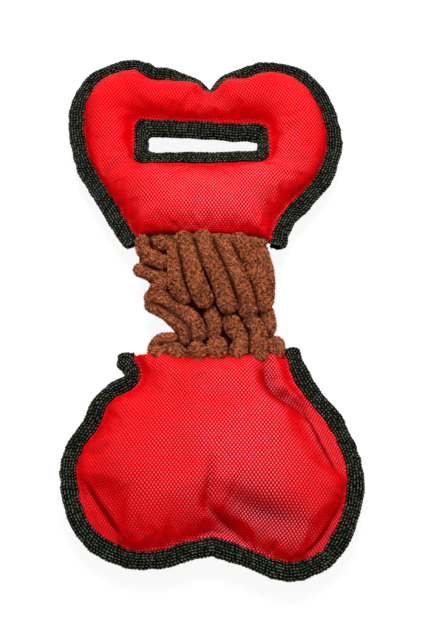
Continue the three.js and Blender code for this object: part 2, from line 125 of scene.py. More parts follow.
def lengths_of(rows: np.ndarray) -> np.ndarray:
    """The length of each row, as a column."""
    return np.linalg.norm(rows, axis=1, keepdims=True)


def unit_rows(rows: np.ndarray) -> np.ndarray:
    """Each row at a length of one."""
    return rows / lengths_of(rows)


def run_along(points: np.ndarray) -> np.ndarray:
    """How far along a line of points each of them lies."""
    return np.concatenate([[0.0], np.cumsum(lengths_of(np.diff(points, axis=0)))])


def even_spread(points: np.ndarray, count: int) -> np.ndarray:
    """Places evenly along a line of points.

    Args:
        points: The line's points, one a row.
        count: How many places to return, with both ends.

    Returns:
        The places, one a row.
    """
    length = run_along(points)
    at = np.linspace(0.0, length[-1], count)
    return np.column_stack([np.interp(at, length, column) for column in points.T])


def flowing_curve(knots: np.ndarray, count: int, dense: int = 60) -> np.ndarray:
    """A centripetal Catmull-Rom curve, the same curve that the part's source uses.

    Args:
        knots: The points it passes through.
        count: How many evenly spaced places to return.
        dense: Steps between two knots before they are evened out.

    Returns:
        The places, one a row.
    """
    all_knots = np.vstack([2 * knots[0] - knots[1], knots, 2 * knots[-1] - knots[-2]])
    share = np.linspace(0.0, 1.0, dense, endpoint=False)[:, None]
    runs = []
    for before, start, end, after in zip(all_knots, all_knots[1:], all_knots[2:], all_knots[3:]):
        gaps = [math.sqrt(np.linalg.norm(b - a)) for a, b in ((before, start), (start, end), (end, after))]
        leaving = (start - before) / gaps[0] - (end - before) / (gaps[0] + gaps[1]) + (end - start) / gaps[1]
        arriving = (end - start) / gaps[1] - (after - start) / (gaps[1] + gaps[2]) + (after - end) / gaps[2]
        leaving, arriving = leaving * gaps[1], arriving * gaps[1]
        square = 3 * (end - start) - 2 * leaving - arriving
        cube = 2 * (start - end) + leaving + arriving
        runs.append(start + leaving * share + square * share**2 + cube * share**3)
    return even_spread(np.vstack([*runs, knots[-1:]]), count)


def wander(at: np.ndarray, seed: int, waves: int = 5) -> np.ndarray:
    """A repeatable wobble between about -2 and 2 along a closed line of places from 0 to 1.

    Args:
        at: The places.
        seed: The wobble's own number.
        waves: The most waves that fit along the line.

    Returns:
        The wobble at each place.
    """
    random = np.random.default_rng(seed)
    total = np.zeros_like(at, dtype=float)
    counts = np.unique(np.linspace(max(1, waves // 4), waves, 9).astype(int))
    for count in counts:
        total += np.sin(2 * math.pi * (count * at + random.random())) * math.sqrt(2 / len(counts))
    return total


def put_in_scene(name: str, data: bpy.types.ID) -> Piece:
    """A new object in the scene.

    Args:
        name: The object's name.
        data: The mesh, the light or the camera that it shows.

    Returns:
        The object.
    """
    piece = bpy.data.objects.new(name, data)
    bpy.context.scene.collection.objects.link(piece)
    return piece


def make_piece(name: str, points: np.ndarray, faces: list, material: Material | None = None) -> Piece:
    """A new smooth-shaded object in the scene.

    Args:
        name: The piece's name.
        points: Its points in metres, one a row.
        faces: Tuples of point numbers.
        material: Its material, if it is known already.

    Returns:
        The object.
    """
    mesh = bpy.data.meshes.new(name)
    mesh.from_pydata(points.tolist(), [], [tuple(int(corner) for corner in face) for face in faces])
    if len(faces):
        mesh.shade_smooth()
    if material:
        mesh.materials.append(material)
    return put_in_scene(name, mesh)


def ring_faces(rings: int, count: int, closed: bool = False) -> list:
    """Quads between rings that follow each other.

    Args:
        rings: How many rings there are.
        count: Points in each ring.
        closed: Whether the last ring joins the first.

    Returns:
        Tuples of four point numbers.
    """
    faces = []
    for ring in range(rings if closed else rings - 1):
        far_ring = (ring + 1) % rings
        for i in range(count):
            after = (i + 1) % count
            here, there = ring * count, far_ring * count
            faces.append((here + i, here + after, there + after, there + i))
    return faces


@contextmanager
def reshaped(piece: Piece) -> Iterator[bmesh.types.BMesh]:
    """Opens a piece's mesh for changes to its faces, and writes them back.

    Args:
        piece: The piece.

    Yields:
        The mesh as it can be changed.
    """
    shape = bmesh.new()
    shape.from_mesh(piece.data)
    yield shape
    shape.to_mesh(piece.data)
    shape.free()


def turn_out(piece: Piece) -> None:
    """Makes the faces of a closed mesh point outwards.

    Args:
        piece: The piece.
    """
    with reshaped(piece) as shape:
        bmesh.ops.recalc_face_normals(shape, faces=shape.faces)
        if shape.calc_volume(signed=True) < 0:
            bmesh.ops.reverse_faces(shape, faces=shape.faces)


def settle(piece: Piece) -> Piece:
    """Turns a piece with modifiers into a plain mesh and takes the modifiers off.

    Args:
        piece: The piece.

    Returns:
        The same piece.
    """
    graph = bpy.context.evaluated_depsgraph_get()
    made = piece.evaluated_get(graph)
    mesh = bpy.data.meshes.new_from_object(made, preserve_all_data_layers=True, depsgraph=graph)
    old = piece.data
    piece.modifiers.clear()
    piece.data = mesh
    mesh.name = piece.name
    bpy.data.meshes.remove(old)
    return piece


def rows_of(items: object, name: str, width: int, kind: type = float) -> np.ndarray:
    """Reads one property of all of a mesh's points, edges or corners.

    Args:
        items: The mesh's collection of them.
        name: The property's name.
        width: How many numbers it has.
        kind: The numbers' type.

    Returns:
        The numbers, one item a row.
    """
    rows = np.empty(len(items) * width, kind)
    items.foreach_get(name, rows)
    return rows.reshape(-1, width)


def points_of(piece: Piece) -> np.ndarray:
    """A mesh's points in metres, one a row."""
    return rows_of(piece.data.vertices, "co", 3)


def normals_of(piece: Piece) -> np.ndarray:
    """A mesh's outward directions at its points, one a row."""
    return rows_of(piece.data.vertices, "normal", 3)


def edges_of(piece: Piece) -> np.ndarray:
    """A mesh's edges as pairs of point numbers."""
    return rows_of(piece.data.edges, "vertices", 2, int)


def set_points(piece: Piece, points: np.ndarray) -> None:
    """Moves a mesh's points to new places in metres."""
    piece.data.vertices.foreach_set("co", points.astype(np.float32).ravel())
    piece.data.update()


def store(piece: Piece, name: str, values: np.ndarray) -> None:
    """Writes a number or a vector for each point of a mesh under a name that materials can read.

    Args:
        piece: The piece.
        name: The name.
        values: One number or one row for each point.
    """
    kind, key = ("FLOAT", "value") if values.ndim == 1 else ("FLOAT_VECTOR", "vector")
    attribute = piece.data.attributes.get(name) or piece.data.attributes.new(name, kind, "POINT")
    attribute.data.foreach_set(key, values.astype(np.float32).ravel())


def seat(piece: Piece, body: str, slot: str, *nodes: str) -> Piece:
    """Makes a piece ride on a body, and hides the CAD nodes that it replaces.

    Args:
        piece: The piece.
        body: What it rides on.
        slot: Not used.
        nodes: The CAD nodes.

    Returns:
        The same piece.
    """
    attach(piece, body)
    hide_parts(*nodes)
    LOG.info("%s: %d faces, rides on %s", piece.name, len(piece.data.polygons), body)
    return piece


class Wiring:
    """Adds nodes to a node tree and links them, for materials and Geometry Nodes alike."""

    def __init__(self, tree: Tree) -> None:
        """Starts on a tree."""
        self.tree = tree

    def add(self, kind: str, inputs: dict | None = None, **settings: object) -> Node:
        """Adds one node.

        Args:
            kind: Its type's identifier.
            inputs: Values or output sockets for its inputs, by name or number.
            settings: Values for the node's own properties.

        Returns:
            The node.
        """
        node = self.tree.nodes.new(kind)
        for name, value in settings.items():
            setattr(node, name, value)
        self.plug_in(node, inputs or {})
        return node

    def plug_in(self, node: Node, sockets: dict) -> None:
        """Links outputs to a node's inputs, or sets them to plain values.

        Args:
            node: The node.
            sockets: Output sockets or values for its inputs, by name or number.
        """
        for key, value in sockets.items():
            if isinstance(value, Socket):
                self.tree.links.new(value, node.inputs[key])
            else:
                node.inputs[key].default_value = value

    def math(self, operation: str, *values: object) -> Socket:
        """The result of one Math node."""
        return self.add("ShaderNodeMath", dict(enumerate(values)), operation=operation).outputs[0]

    def mix(self, factor: object, first: object, second: object) -> Socket:
        """A colour between two others."""
        return self.add("ShaderNodeMix", {0: factor, 6: first, 7: second}, data_type="RGBA").outputs[2]

    def noise(self, vector: object, scale: object, detail: float = 3.0) -> Socket:
        """The height of a Noise Texture."""
        inputs = {"Vector": vector, "Scale": scale, "Detail": detail}
        return self.add("ShaderNodeTexNoise", inputs).outputs["Fac"]

    def spread(
        self, value: object, low: float, high: float, first: float = 0.0, last: float = 1.0
    ) -> Socket:
        """A value moved from one range to another, and kept inside it."""
        inputs = {"Value": value, "From Min": low, "From Max": high, "To Min": first, "To Max": last}
        return self.add("ShaderNodeMapRange", inputs).outputs["Result"]

    def read(self, name: str, output: str = "Fac") -> Socket:
        """What a material reads from a mesh under a name."""
        return self.add("ShaderNodeAttribute", attribute_name=name).outputs[output]

    def bump(self, height: Socket, strength: float, relief: float) -> Socket:
        """A surface direction from a height, with its relief in millimetres."""
        inputs = {"Strength": strength, "Distance": relief * MM, "Height": height}
        return self.add("ShaderNodeBump", inputs).outputs["Normal"]


def new_group(name: str, kind: str, inputs: dict, outputs: dict) -> tuple[Wiring, Node, Node]:
    """An empty node group with named sockets.

    Args:
        name: The group's name.
        kind: ShaderNodeTree or GeometryNodeTree.
        inputs: Socket types and first values, by name.
        outputs: Socket types, by name.

    Returns:
        The wiring, the input node and the output node.
    """
    tree = bpy.data.node_groups.new(name, kind)
    for label, (socket_type, value) in inputs.items():
        socket = tree.interface.new_socket(label, in_out="INPUT", socket_type=socket_type)
        if value is not None:
            socket.default_value = value
    for label, socket_type in outputs.items():
        tree.interface.new_socket(label, in_out="OUTPUT", socket_type=socket_type)
    wiring = Wiring(tree)
    return wiring, wiring.add("NodeGroupInput"), wiring.add("NodeGroupOutput")


FLOAT_SOCKET = "NodeSocketFloat"
COUNT_SOCKET = "NodeSocketInt"
VECTOR_SOCKET = "NodeSocketVector"
COLOUR_SOCKET = "NodeSocketColor"
SHAPE_SOCKET = "NodeSocketGeometry"
MATERIAL_SOCKET = "NodeSocketMaterial"


@cache
def weave_group() -> Tree:
    """A plain weave: how high it lies, the lit crest of each upright thread and the gaps between threads.

    Returns:
        The group.
    """
    waver_scale, waver_threads = 60.0, 1.4
    fuzz_scale, fuzz_detail = 2600.0, 2.0
    flat_share, roundness = -0.6, 0.6
    crest_range, gap_range = (-0.3, 0.75), (0.1, -0.7)
    w, given, out = new_group(
        "plain_weave",
        "ShaderNodeTree",
        {
            "Vector": (VECTOR_SOCKET, None),
            "Thread Across": (FLOAT_SOCKET, MM),
            "Thread Along": (FLOAT_SOCKET, MM),
            "Looseness": (FLOAT_SOCKET, 0.1),
        },
        {"Height": FLOAT_SOCKET, "Crest": FLOAT_SOCKET, "Gap": FLOAT_SOCKET},
    )
    vector = given.outputs["Vector"]
    place = w.add("ShaderNodeSeparateXYZ", {"Vector": vector})
    waver = w.math("MULTIPLY", w.math("SUBTRACT", w.noise(vector, waver_scale), 0.5), waver_threads)
    waves = []
    for axis, spacing in (("X", "Thread Across"), ("Y", "Thread Along")):
        threads = w.math("ADD", w.math("DIVIDE", place.outputs[axis], given.outputs[spacing]), waver)
        waves.append(w.math("SINE", w.math("MULTIPLY", threads, math.pi)))
    upright = w.math("MULTIPLY", *waves)
    fuzz = w.math("SUBTRACT", w.noise(vector, fuzz_scale, fuzz_detail), 0.5)
    loose = w.math("MULTIPLY", fuzz, given.outputs["Looseness"])
    lying = w.math("MAXIMUM", w.math("MULTIPLY", upright, flat_share), 0.0)
    height = w.math("POWER", w.math("MAXIMUM", upright, lying), roundness)
    lit = w.math("ADD", upright, loose)
    made = {"Height": w.math("ADD", height, loose), "Crest": w.spread(lit, *crest_range)}
    w.plug_in(out, {**made, "Gap": w.spread(lit, *gap_range)})
    return w.tree


@cache
def mottle_group() -> Tree:
    """Slow uneven fading of a colour, with a finer speckle over it.

    Returns:
        The group.
    """
    detail = 2.0
    patch_range, grain_range = (0.3, 0.7), (0.34, 0.66)
    w, given, out = new_group(
        "mottle",
        "ShaderNodeTree",
        {
            "Vector": (VECTOR_SOCKET, None),
            "Dark": (COLOUR_SOCKET, (0, 0, 0, 1)),
            "Light": (COLOUR_SOCKET, (1, 1, 1, 1)),
            "Patch Scale": (FLOAT_SOCKET, 40.0),
            "Speckle Scale": (FLOAT_SOCKET, 900.0),
            "Speckle": (FLOAT_SOCKET, 0.5),
        },
        {"Colour": COLOUR_SOCKET, "Height": FLOAT_SOCKET},
    )
    vector, sizes = given.outputs["Vector"], given.outputs
    patches = w.spread(w.noise(vector, sizes["Patch Scale"], detail), *patch_range)
    grain = w.spread(w.noise(vector, sizes["Speckle Scale"], detail), *grain_range)
    shade = w.add("ShaderNodeMix", {0: sizes["Speckle"], 2: patches, 3: grain}, data_type="FLOAT").outputs[0]
    w.plug_in(out, {"Colour": w.mix(shade, sizes["Dark"], sizes["Light"]), "Height": grain})
    return w.tree


def new_material(name: str) -> tuple[Material, Wiring, Node]:
    """A material with an empty Principled BSDF.

    Args:
        name: The material's name.

    Returns:
        The material, its wiring and its shader node.
    """
    material = bpy.data.materials.new(name)
    material.use_nodes = True
    return material, Wiring(material.node_tree), material.node_tree.nodes["Principled BSDF"]


def woven(w: Wiring, place: Socket, across: float, along: float, looseness: float) -> Node:
    """The weave group in a material.

    Args:
        w: The material's wiring.
        place: Where each point of the cloth lies.
        across: The spacing of the threads across.
        along: Their spacing along.
        looseness: How uneven the threads are.

    Returns:
        The group's node.
    """
    sizes = {"Thread Across": across * MM, "Thread Along": along * MM, "Looseness": looseness}
    return w.add("ShaderNodeGroup", {"Vector": place, **sizes}, node_tree=weave_group())


@dataclass(frozen=True)
class Mottled:
    """What mottled finishes share: two colours that fade in slow patches, with a finer speckle over them."""

    name: str
    dark_colour: tuple
    light_colour: tuple
    roughness: float
    speckle_scale: float
    relief: float
    patch_scale: float
    speckle: float
    bump_strength: float
    rough_rise: float

    def mottle(self, w: Wiring, place: Socket) -> bpy.types.NodeOutputs:
        """Puts the mottle group in a material.

        Args:
            w: The material's wiring.
            place: Where each point of the surface lies.

        Returns:
            The group's colour and height.
        """
        colours = {"Vector": place, "Dark": self.dark_colour, "Light": self.light_colour}
        scales = {"Patch Scale": self.patch_scale, "Speckle Scale": self.speckle_scale}
        inputs = {**colours, **scales, "Speckle": self.speckle}
        return w.add("ShaderNodeGroup", inputs, node_tree=mottle_group()).outputs

    def dress(self, w: Wiring, shader: Node, colour: Socket, height: Socket) -> None:
        """Plugs a colour, a roughness and a relief in a shader.

        Args:
            w: The material's wiring.
            shader: The shader.
            colour: The colour.
            height: The surface's height, from 0 to 1.
        """
        rough = w.spread(height, 0.0, 1.0, self.roughness, self.roughness + self.rough_rise)
        normal = w.bump(height, self.bump_strength, self.relief)
        w.plug_in(shader, {"Base Color": colour, "Roughness": rough, "Normal": normal})


@dataclass(frozen=True)
class NylonFinish(Mottled):
    """Coarse woven nylon, with painted glints on its upright threads and painted shade in its folds and
    thread gaps.
    """

    name: str = "red_nylon_cloth"
    dark_colour: tuple = (0.46, 0.0, 0.0, 1.0)
    light_colour: tuple = (0.95, 0.0, 0.004, 1.0)
    # Painted highlight: the pale colour of the glints on the thread crests
    glint_colour: tuple = (1.0, 0.22, 0.29, 1.0)
    # Painted shade: the colour that the cloth turns in its folds' valleys and the strips' dark lines
    valley_colour: tuple = (0.2, 0.0, 0.001, 1.0)
    roughness: float = 0.64
    speckle_scale: float = 420.0
    relief: float = 0.35
    patch_scale: float = 26.0
    speckle: float = 0.3
    bump_strength: float = 0.8
    thread_across: float = 1.08
    thread_along: float = 1.52
    looseness: float = 0.12
    fading: float = 0.45
    valley_shade_strength: float = 0.8
    # Patches and crest ranges that the painted glints keep
    glint_patch_scale: float = 22.0
    glint_patches: tuple = (0.38, 0.6, 0.55, 1.0)
    glint_crests: tuple = (0.5, 1.0)
    # How strong the painted shade in the thread gaps is, by the glints' strength
    gap_shade_range: tuple = (0.0, 1.0, 0.35, 0.85)
    rough_rise: float = -0.22
    specular: float = 0.03

    def material(self) -> Material:
        """Builds the material, which reads the cloth's cut from a UV map, and by name where its painted
        glints and the painted shade of its valleys go.

        Returns:
            The material.
        """
        material, w, shader = new_material(self.name)
        cut = w.add("ShaderNodeUVMap", uv_map="cut").outputs["UV"]
        place = w.add("ShaderNodeTexCoord").outputs["Object"]
        weave = woven(w, cut, self.thread_across, self.thread_along, self.looseness).outputs
        faded = w.mix(self.fading, self.light_colour, self.mottle(w, place)["Colour"])
        # Painted highlight: the glints are a pale colour on the thread crests, where the shine attribute and
        # slow patches let them show
        patchy = w.spread(w.noise(place, self.glint_patch_scale, 1.0), *self.glint_patches)
        shine = w.math("MULTIPLY", w.read("shine"), patchy)
        glint = w.math("MULTIPLY", w.spread(weave["Crest"], *self.glint_crests), shine)
        # Painted shade: darker red in the folds' valleys and the strips' dark lines
        valley = w.math("MULTIPLY", w.read("valley"), self.valley_shade_strength)
        threads = w.mix(glint, w.mix(valley, faded, self.valley_colour), self.glint_colour)
        # Painted shade in the gaps between the threads, deepest where the painted glints are strongest; the
        # gaps take the dark colour
        depth = w.math("MULTIPLY", weave["Gap"], w.spread(shine, *self.gap_shade_range))
        colour = w.mix(depth, threads, w.mix(valley, self.dark_colour, self.valley_colour))
        rough = w.spread(weave["Crest"], 0.0, 1.0, self.roughness, self.roughness + self.rough_rise)
        normal = w.bump(weave["Height"], self.bump_strength, self.relief)
        w.plug_in(shader, {"Base Color": colour, "Roughness": rough, "Normal": normal})
        w.plug_in(shader, {"Specular IOR Level": self.specular})
        return material


@dataclass(frozen=True)
class WebbingFinish(Mottled):
    """Nearly black webbing: a dark ground, or the lighter floats of its yarns."""

    speckle_scale: float = 1500.0
    relief: float = 0.12
    patch_scale: float = 90.0
    speckle: float = 0.45
    bump_strength: float = 0.5
    rough_rise: float = -0.15
    specular: float = 0.02
    tone_range: tuple = (0.3, 1.0, 0.0, 0.8)
    reads_tone: bool = False

    def material(self) -> Material:
        """Builds the material. The floats read their own tone from an attribute.

        Returns:
            The material.
        """
        material, w, shader = new_material(self.name)
        made = self.mottle(w, w.add("ShaderNodeTexCoord").outputs["Object"])
        colour = made["Colour"]
        if self.reads_tone:
            colour = w.mix(w.spread(w.read("tone"), *self.tone_range), colour, self.light_colour)
        self.dress(w, shader, colour, made["Height"])
        w.plug_in(shader, {"Specular IOR Level": self.specular})
        return material


@dataclass(frozen=True)
class PlushFinish(Mottled):
    """Brown cut pile, with painted shade in the hollows between its ribs."""

    name: str = "brown_plush_pile"
    dark_colour: tuple = (0.07, 0.009, 0.002, 1.0)
    light_colour: tuple = (0.86, 0.285, 0.118, 1.0)
    # Painted shade: the colour of the hollows between the ribs
    hollow_colour: tuple = (0.04, 0.004, 0.0005, 1.0)
    sheen_colour: tuple = (1.0, 0.45, 0.25, 1.0)
    roughness: float = 0.95
    speckle_scale: float = 880.0
    relief: float = 0.7
    patch_scale: float = 55.0
    speckle: float = 0.72
    bump_strength: float = 0.9
    curl_scale: float = 620.0
    curl_range: tuple = (0.44, 0.59)
    curl_share: float = 0.8
    rough_rise: float = -0.15
    specular: float = 0.01
    sheen: float = 0.03
    sheen_roughness: float = 0.4
    is_tufts: bool = False

    def material(self) -> Material:
        """Builds the material, which reads its place at rest, and the hollows that its painted shade
        follows, from attributes.

        Returns:
            The material.
        """
        material, w, shader = new_material(self.name)
        rest = w.read("rest", "Vector")
        made = self.mottle(w, rest)
        colour = made["Colour"]
        if self.is_tufts:
            curl = w.spread(w.noise(rest, self.curl_scale, 1.5), *self.curl_range)
            tone = w.math("MULTIPLY", w.read("tone"), 1 - self.curl_share)
            both = w.math("ADD", tone, w.math("MULTIPLY", curl, self.curl_share))
            colour = w.mix(both, self.dark_colour, self.light_colour)
        # Painted shade: the pile turns near black in the hollows between the ribs
        colour = w.mix(w.read("hollow"), colour, self.hollow_colour)
        self.dress(w, shader, colour, made["Height"])
        w.plug_in(shader, {"Specular IOR Level": self.specular, "Sheen Weight": self.sheen})
        w.plug_in(shader, {"Sheen Roughness": self.sheen_roughness, "Sheen Tint": self.sheen_colour})
        return material


@dataclass(frozen=True)
class PlainFinish(Mottled):
    """A quiet finish for what lies inside: fibre fill, moulded plastic or a woven tab."""

    patch_scale: float = 30.0
    speckle: float = 0.4
    bump_strength: float = 0.6
    rough_rise: float = 0.1

    def material(self) -> Material:
        """Builds the material on the piece's own coordinates.

        Returns:
            The material.
        """
        material, w, shader = new_material(self.name)
        made = self.mottle(w, w.add("ShaderNodeTexCoord").outputs["Object"])
        self.dress(w, shader, made["Colour"], made["Height"])
        return material


@dataclass(frozen=True)
class ElasticFinish:
    """Woven elastic, ribbed along its length, with painted highlights on its thread crests."""

    name: str = "woven_elastic"
    dark_colour: tuple = (0.018, 0.018, 0.02, 1.0)
    light_colour: tuple = (0.09, 0.09, 0.1, 1.0)
    thread_across: float = 1.5
    thread_along: float = 0.9
    looseness: float = 0.2
    rough_range: tuple = (0.9, 0.7)
    bump_strength: float = 0.7
    relief: float = 0.3

    def material(self) -> Material:
        """Builds the material on the strap's place at rest.

        Returns:
            The material.
        """
        material, w, shader = new_material(self.name)
        rest = w.read("rest", "Vector")
        weave = woven(w, rest, self.thread_across, self.thread_along, self.looseness).outputs
        # Painted highlight: the thread crests are lighter than the rest
        colour = w.mix(weave["Crest"], self.dark_colour, self.light_colour)
        rough = w.spread(weave["Height"], 0.0, 1.0, *self.rough_range)
        normal = w.bump(weave["Height"], self.bump_strength, self.relief)
        w.plug_in(shader, {"Base Color": colour, "Roughness": rough, "Normal": normal})
        return material


def start_tree(name: str, takes: str, sizes: dict) -> tuple[Wiring, bpy.types.NodeOutputs, Node]:
    """A Geometry Nodes tree that takes a shape, named sizes and a material, and puts out a shape.

    Args:
        name: The tree's name.
        takes: What its shape input is called.
        sizes: First values of its sizes, by name.

    Returns:
        The wiring, what is given to the tree and its output node.
    """
    inputs = {takes: (SHAPE_SOCKET, None)}
    for label, value in sizes.items():
        inputs[label] = (COUNT_SOCKET if isinstance(value, int) else FLOAT_SOCKET, value)
    inputs["Material"] = (MATERIAL_SOCKET, None)
    w, given, out = new_group(name, "GeometryNodeTree", inputs, {"Geometry": SHAPE_SOCKET})
    return w, given.outputs, out


def end_tree(w: Wiring, out: Node, shape: Socket, material: Socket, is_smooth: bool = False) -> Tree:
    """Makes a tree's instances real and dresses them, as its last steps.

    Args:
        w: The tree's wiring.
        out: Its output node.
        shape: The shape so far.
        material: The material.
        is_smooth: Whether the shape is shaded smooth.

    Returns:
        The tree.
    """
    made = w.add("GeometryNodeRealizeInstances", {"Geometry": shape})
    if is_smooth:
        made = w.add("GeometryNodeSetShadeSmooth", {"Geometry": made.outputs["Geometry"]})
    dressed = w.add("GeometryNodeSetMaterial", {"Geometry": made.outputs["Geometry"], "Material": material})
    w.plug_in(out, {"Geometry": dressed.outputs["Geometry"]})
    return w.tree


def toned(w: Wiring, instances: Socket, seed: int) -> Socket:
    """Gives each instance a random tone, which its material reads.

    Args:
        w: The tree's wiring.
        instances: The instances.
        seed: The tones' own number.

    Returns:
        The instances with their tones.
    """
    tone = w.add("FunctionNodeRandomValue", {2: 0.0, 3: 1.0, "Seed": seed}, data_type="FLOAT").outputs[1]
    inputs = {"Geometry": instances, "Name": "tone", "Value": tone}
    kept = w.add("GeometryNodeStoreNamedAttribute", inputs, data_type="FLOAT", domain="INSTANCE")
    return kept.outputs["Geometry"]


def named(w: Wiring, name: str, kind: str = "FLOAT") -> Socket:
    """What Geometry Nodes read from a mesh under a name."""
    return w.add("GeometryNodeInputNamedAttribute", {"Name": name}, data_type=kind).outputs["Attribute"]


@cache
def laid_tree() -> Tree:
    """Geometry Nodes that lay one rounded bead on each point, along the point's own directions.

    Returns:
        The tree.
    """
    sizes = {"Half Length": MM, "Half Width": MM, "Half Height": MM, "Unevenness": 0.1, "Around": 6}
    w, given, out = start_tree("laid_beads", "Points", sizes)
    outward, lying = named(w, "outward", "FLOAT_VECTOR"), named(w, "lying", "FLOAT_VECTOR")
    ways = {"Primary Axis": outward, "Secondary Axis": lying}
    turn = w.add("FunctionNodeAxesToRotation", ways, primary_axis="Z", secondary_axis="X")
    bead = w.add("GeometryNodeMeshUVSphere", {"Segments": given["Around"], "Rings": 4, "Radius": 1.0})
    half = {"X": given["Half Length"], "Y": given["Half Width"], "Z": given["Half Height"]}
    size = w.add("ShaderNodeCombineXYZ", half).outputs["Vector"]
    shaped = w.add("GeometryNodeTransform", {"Geometry": bead.outputs["Mesh"], "Scale": size})
    least, most = (w.math(operation, 1.0, given["Unevenness"]) for operation in ("SUBTRACT", "ADD"))
    grow = w.add("FunctionNodeRandomValue", {2: least, 3: most, "Seed": 4}, data_type="FLOAT")
    inputs = {"Points": given["Points"], "Instance": shaped.outputs["Geometry"]}
    placing = {"Rotation": turn.outputs["Rotation"], "Scale": grow.outputs[1]}
    laid = w.add("GeometryNodeInstanceOnPoints", {**inputs, **placing})
    return end_tree(w, out, toned(w, laid.outputs["Instances"], 11), given["Material"], is_smooth=True)


@cache
def pile_tree() -> Tree:
    """Geometry Nodes that stand short leaning tufts all over a surface, shorter ones in its hollows.

    Returns:
        The tree.
    """
    any_turn, least_size, most_size, hollow_share = 3.0, 0.6, 1.3, 0.75
    sizes = {"Density": 1e5, "Tuft Length": MM, "Tuft Radius": 0.3 * MM, "Lean": 0.4, "Seed": 7}
    w, given, out = start_tree("cut_pile", "Surface", sizes)
    inputs = {"Mesh": given["Surface"], "Density": given["Density"], "Seed": given["Seed"]}
    scattered = w.add("GeometryNodeDistributePointsOnFaces", inputs)
    root, tall = given["Tuft Radius"], given["Tuft Length"]
    cone = {"Vertices": 3, "Radius Top": 0.0, "Radius Bottom": root, "Depth": tall}
    tuft = w.add("GeometryNodeMeshCone", cone, fill_type="NONE")
    more = given["Lean"]
    less = w.math("MULTIPLY", more, -1.0)
    low = w.add("ShaderNodeCombineXYZ", {"X": less, "Y": less, "Z": -any_turn}).outputs["Vector"]
    high = w.add("ShaderNodeCombineXYZ", {"X": more, "Y": more, "Z": any_turn}).outputs["Vector"]
    lean = w.add("FunctionNodeRandomValue", {0: low, 1: high, "Seed": 3}, data_type="FLOAT_VECTOR")
    ways = {"Rotation": scattered.outputs["Rotation"], "Rotate By": lean.outputs[0]}
    turn = w.add("FunctionNodeRotateRotation", ways, rotation_space="LOCAL")
    spread = w.add("FunctionNodeRandomValue", {2: least_size, 3: most_size, "Seed": 5}, data_type="FLOAT")
    kept = w.math("SUBTRACT", 1.0, w.math("MULTIPLY", named(w, "hollow"), hollow_share))
    size = w.math("MULTIPLY", spread.outputs[1], kept)
    inputs = {"Points": scattered.outputs["Points"], "Instance": tuft.outputs["Mesh"], "Scale": size}
    stood = w.add("GeometryNodeInstanceOnPoints", {**inputs, "Rotation": turn.outputs["Rotation"]})
    return end_tree(w, out, toned(w, stood.outputs["Instances"], 9), given["Material"])


@cache
def ribs_tree() -> Tree:
    """Geometry Nodes that run a round rib along each line, as thick as the line says at each point.

    Returns:
        The tree.
    """
    w, given, out = start_tree("plush_ribs", "Lines", {"Sides": 16, "Fullness": 1.0})
    curve = w.add("GeometryNodeMeshToCurve", {"Mesh": given["Lines"]})
    scaled = w.math("MULTIPLY", named(w, "thickness"), given["Fullness"])
    sized = w.add("GeometryNodeSetCurveRadius", {"Curve": curve.outputs["Curve"], "Radius": scaled})
    ring = w.add("GeometryNodeCurvePrimitiveCircle", {"Resolution": given["Sides"], "Radius": 1.0})
    inputs = {"Curve": sized.outputs["Curve"], "Profile Curve": ring.outputs["Curve"], "Fill Caps": True}
    tube = w.add("GeometryNodeCurveToMesh", inputs)
    if "Scale" in tube.inputs:
        w.plug_in(tube, {"Scale": w.add("GeometryNodeInputRadius").outputs["Radius"]})
    return end_tree(w, out, tube.outputs["Mesh"], given["Material"])


def run_tree(piece: Piece, tree: Tree, values: dict) -> Piece:
    """Runs Geometry Nodes on a piece and keeps the result as its plain mesh.

    Args:
        piece: The object that holds the points or the surface.
        tree: The Geometry Nodes tree.
        values: The tree's inputs by name.

    Returns:
        The same object.
    """
    modifier = piece.modifiers.new("nodes", "NODES")
    modifier.node_group = tree
    sockets = {item.name: item.identifier for item in tree.interface.items_tree if item.in_out == "INPUT"}
    for name, value in values.items():
        modifier[sockets[name]] = value
    return settle(piece)


@dataclass(frozen=True)
class Crease:
    """A soft fold pressed into a panel, from one place to another in shares of the pad's plan."""

    from_shares: tuple[float, float]
    to_shares: tuple[float, float]
    depth: float
    half_width: float


@dataclass(frozen=True)
class Fold:
    """A sharper fold along a route in shares of the pad's plan: a valley, or a ridge if negative."""

    route: tuple
    depth: float
    half_width: float
    stations: int = 60
    dense: int = 24
    end_share: float = 0.06
    taper_power: float = 0.7
    side_power: float = 1.6
    # The fold depth at which its painted shade is full
    full_shade_depth: float = 5.0

    def height(self, places: np.ndarray, size: np.ndarray) -> np.ndarray:
        """How far the fold raises each place.

        Args:
            places: Plan places in millimetres.
            size: The pad's half width and length.

        Returns:
            The heights, negative in a valley.
        """
        last = self.stations - 1
        line = flowing_curve(np.array(self.route) * size, self.stations, dense=self.dense)
        away, number = nearest_on(line, places)
        way = self.end_share + (1 - 2 * self.end_share) * number / last
        taper = np.sin(math.pi * way) ** self.taper_power
        ends = (number == 0) | (number == last)
        falloff = np.exp(-((away / self.half_width) ** self.side_power))
        return -self.depth * falloff * np.where(ends, taper * np.exp(-away / self.half_width), taper)

    def valley(self, places: np.ndarray, size: np.ndarray) -> np.ndarray:
        """How much painted shade each place takes in the fold's valley, up to 1 in a deep one."""
        return np.maximum(-self.height(places, size), 0.0) / max(self.full_shade_depth, self.depth)


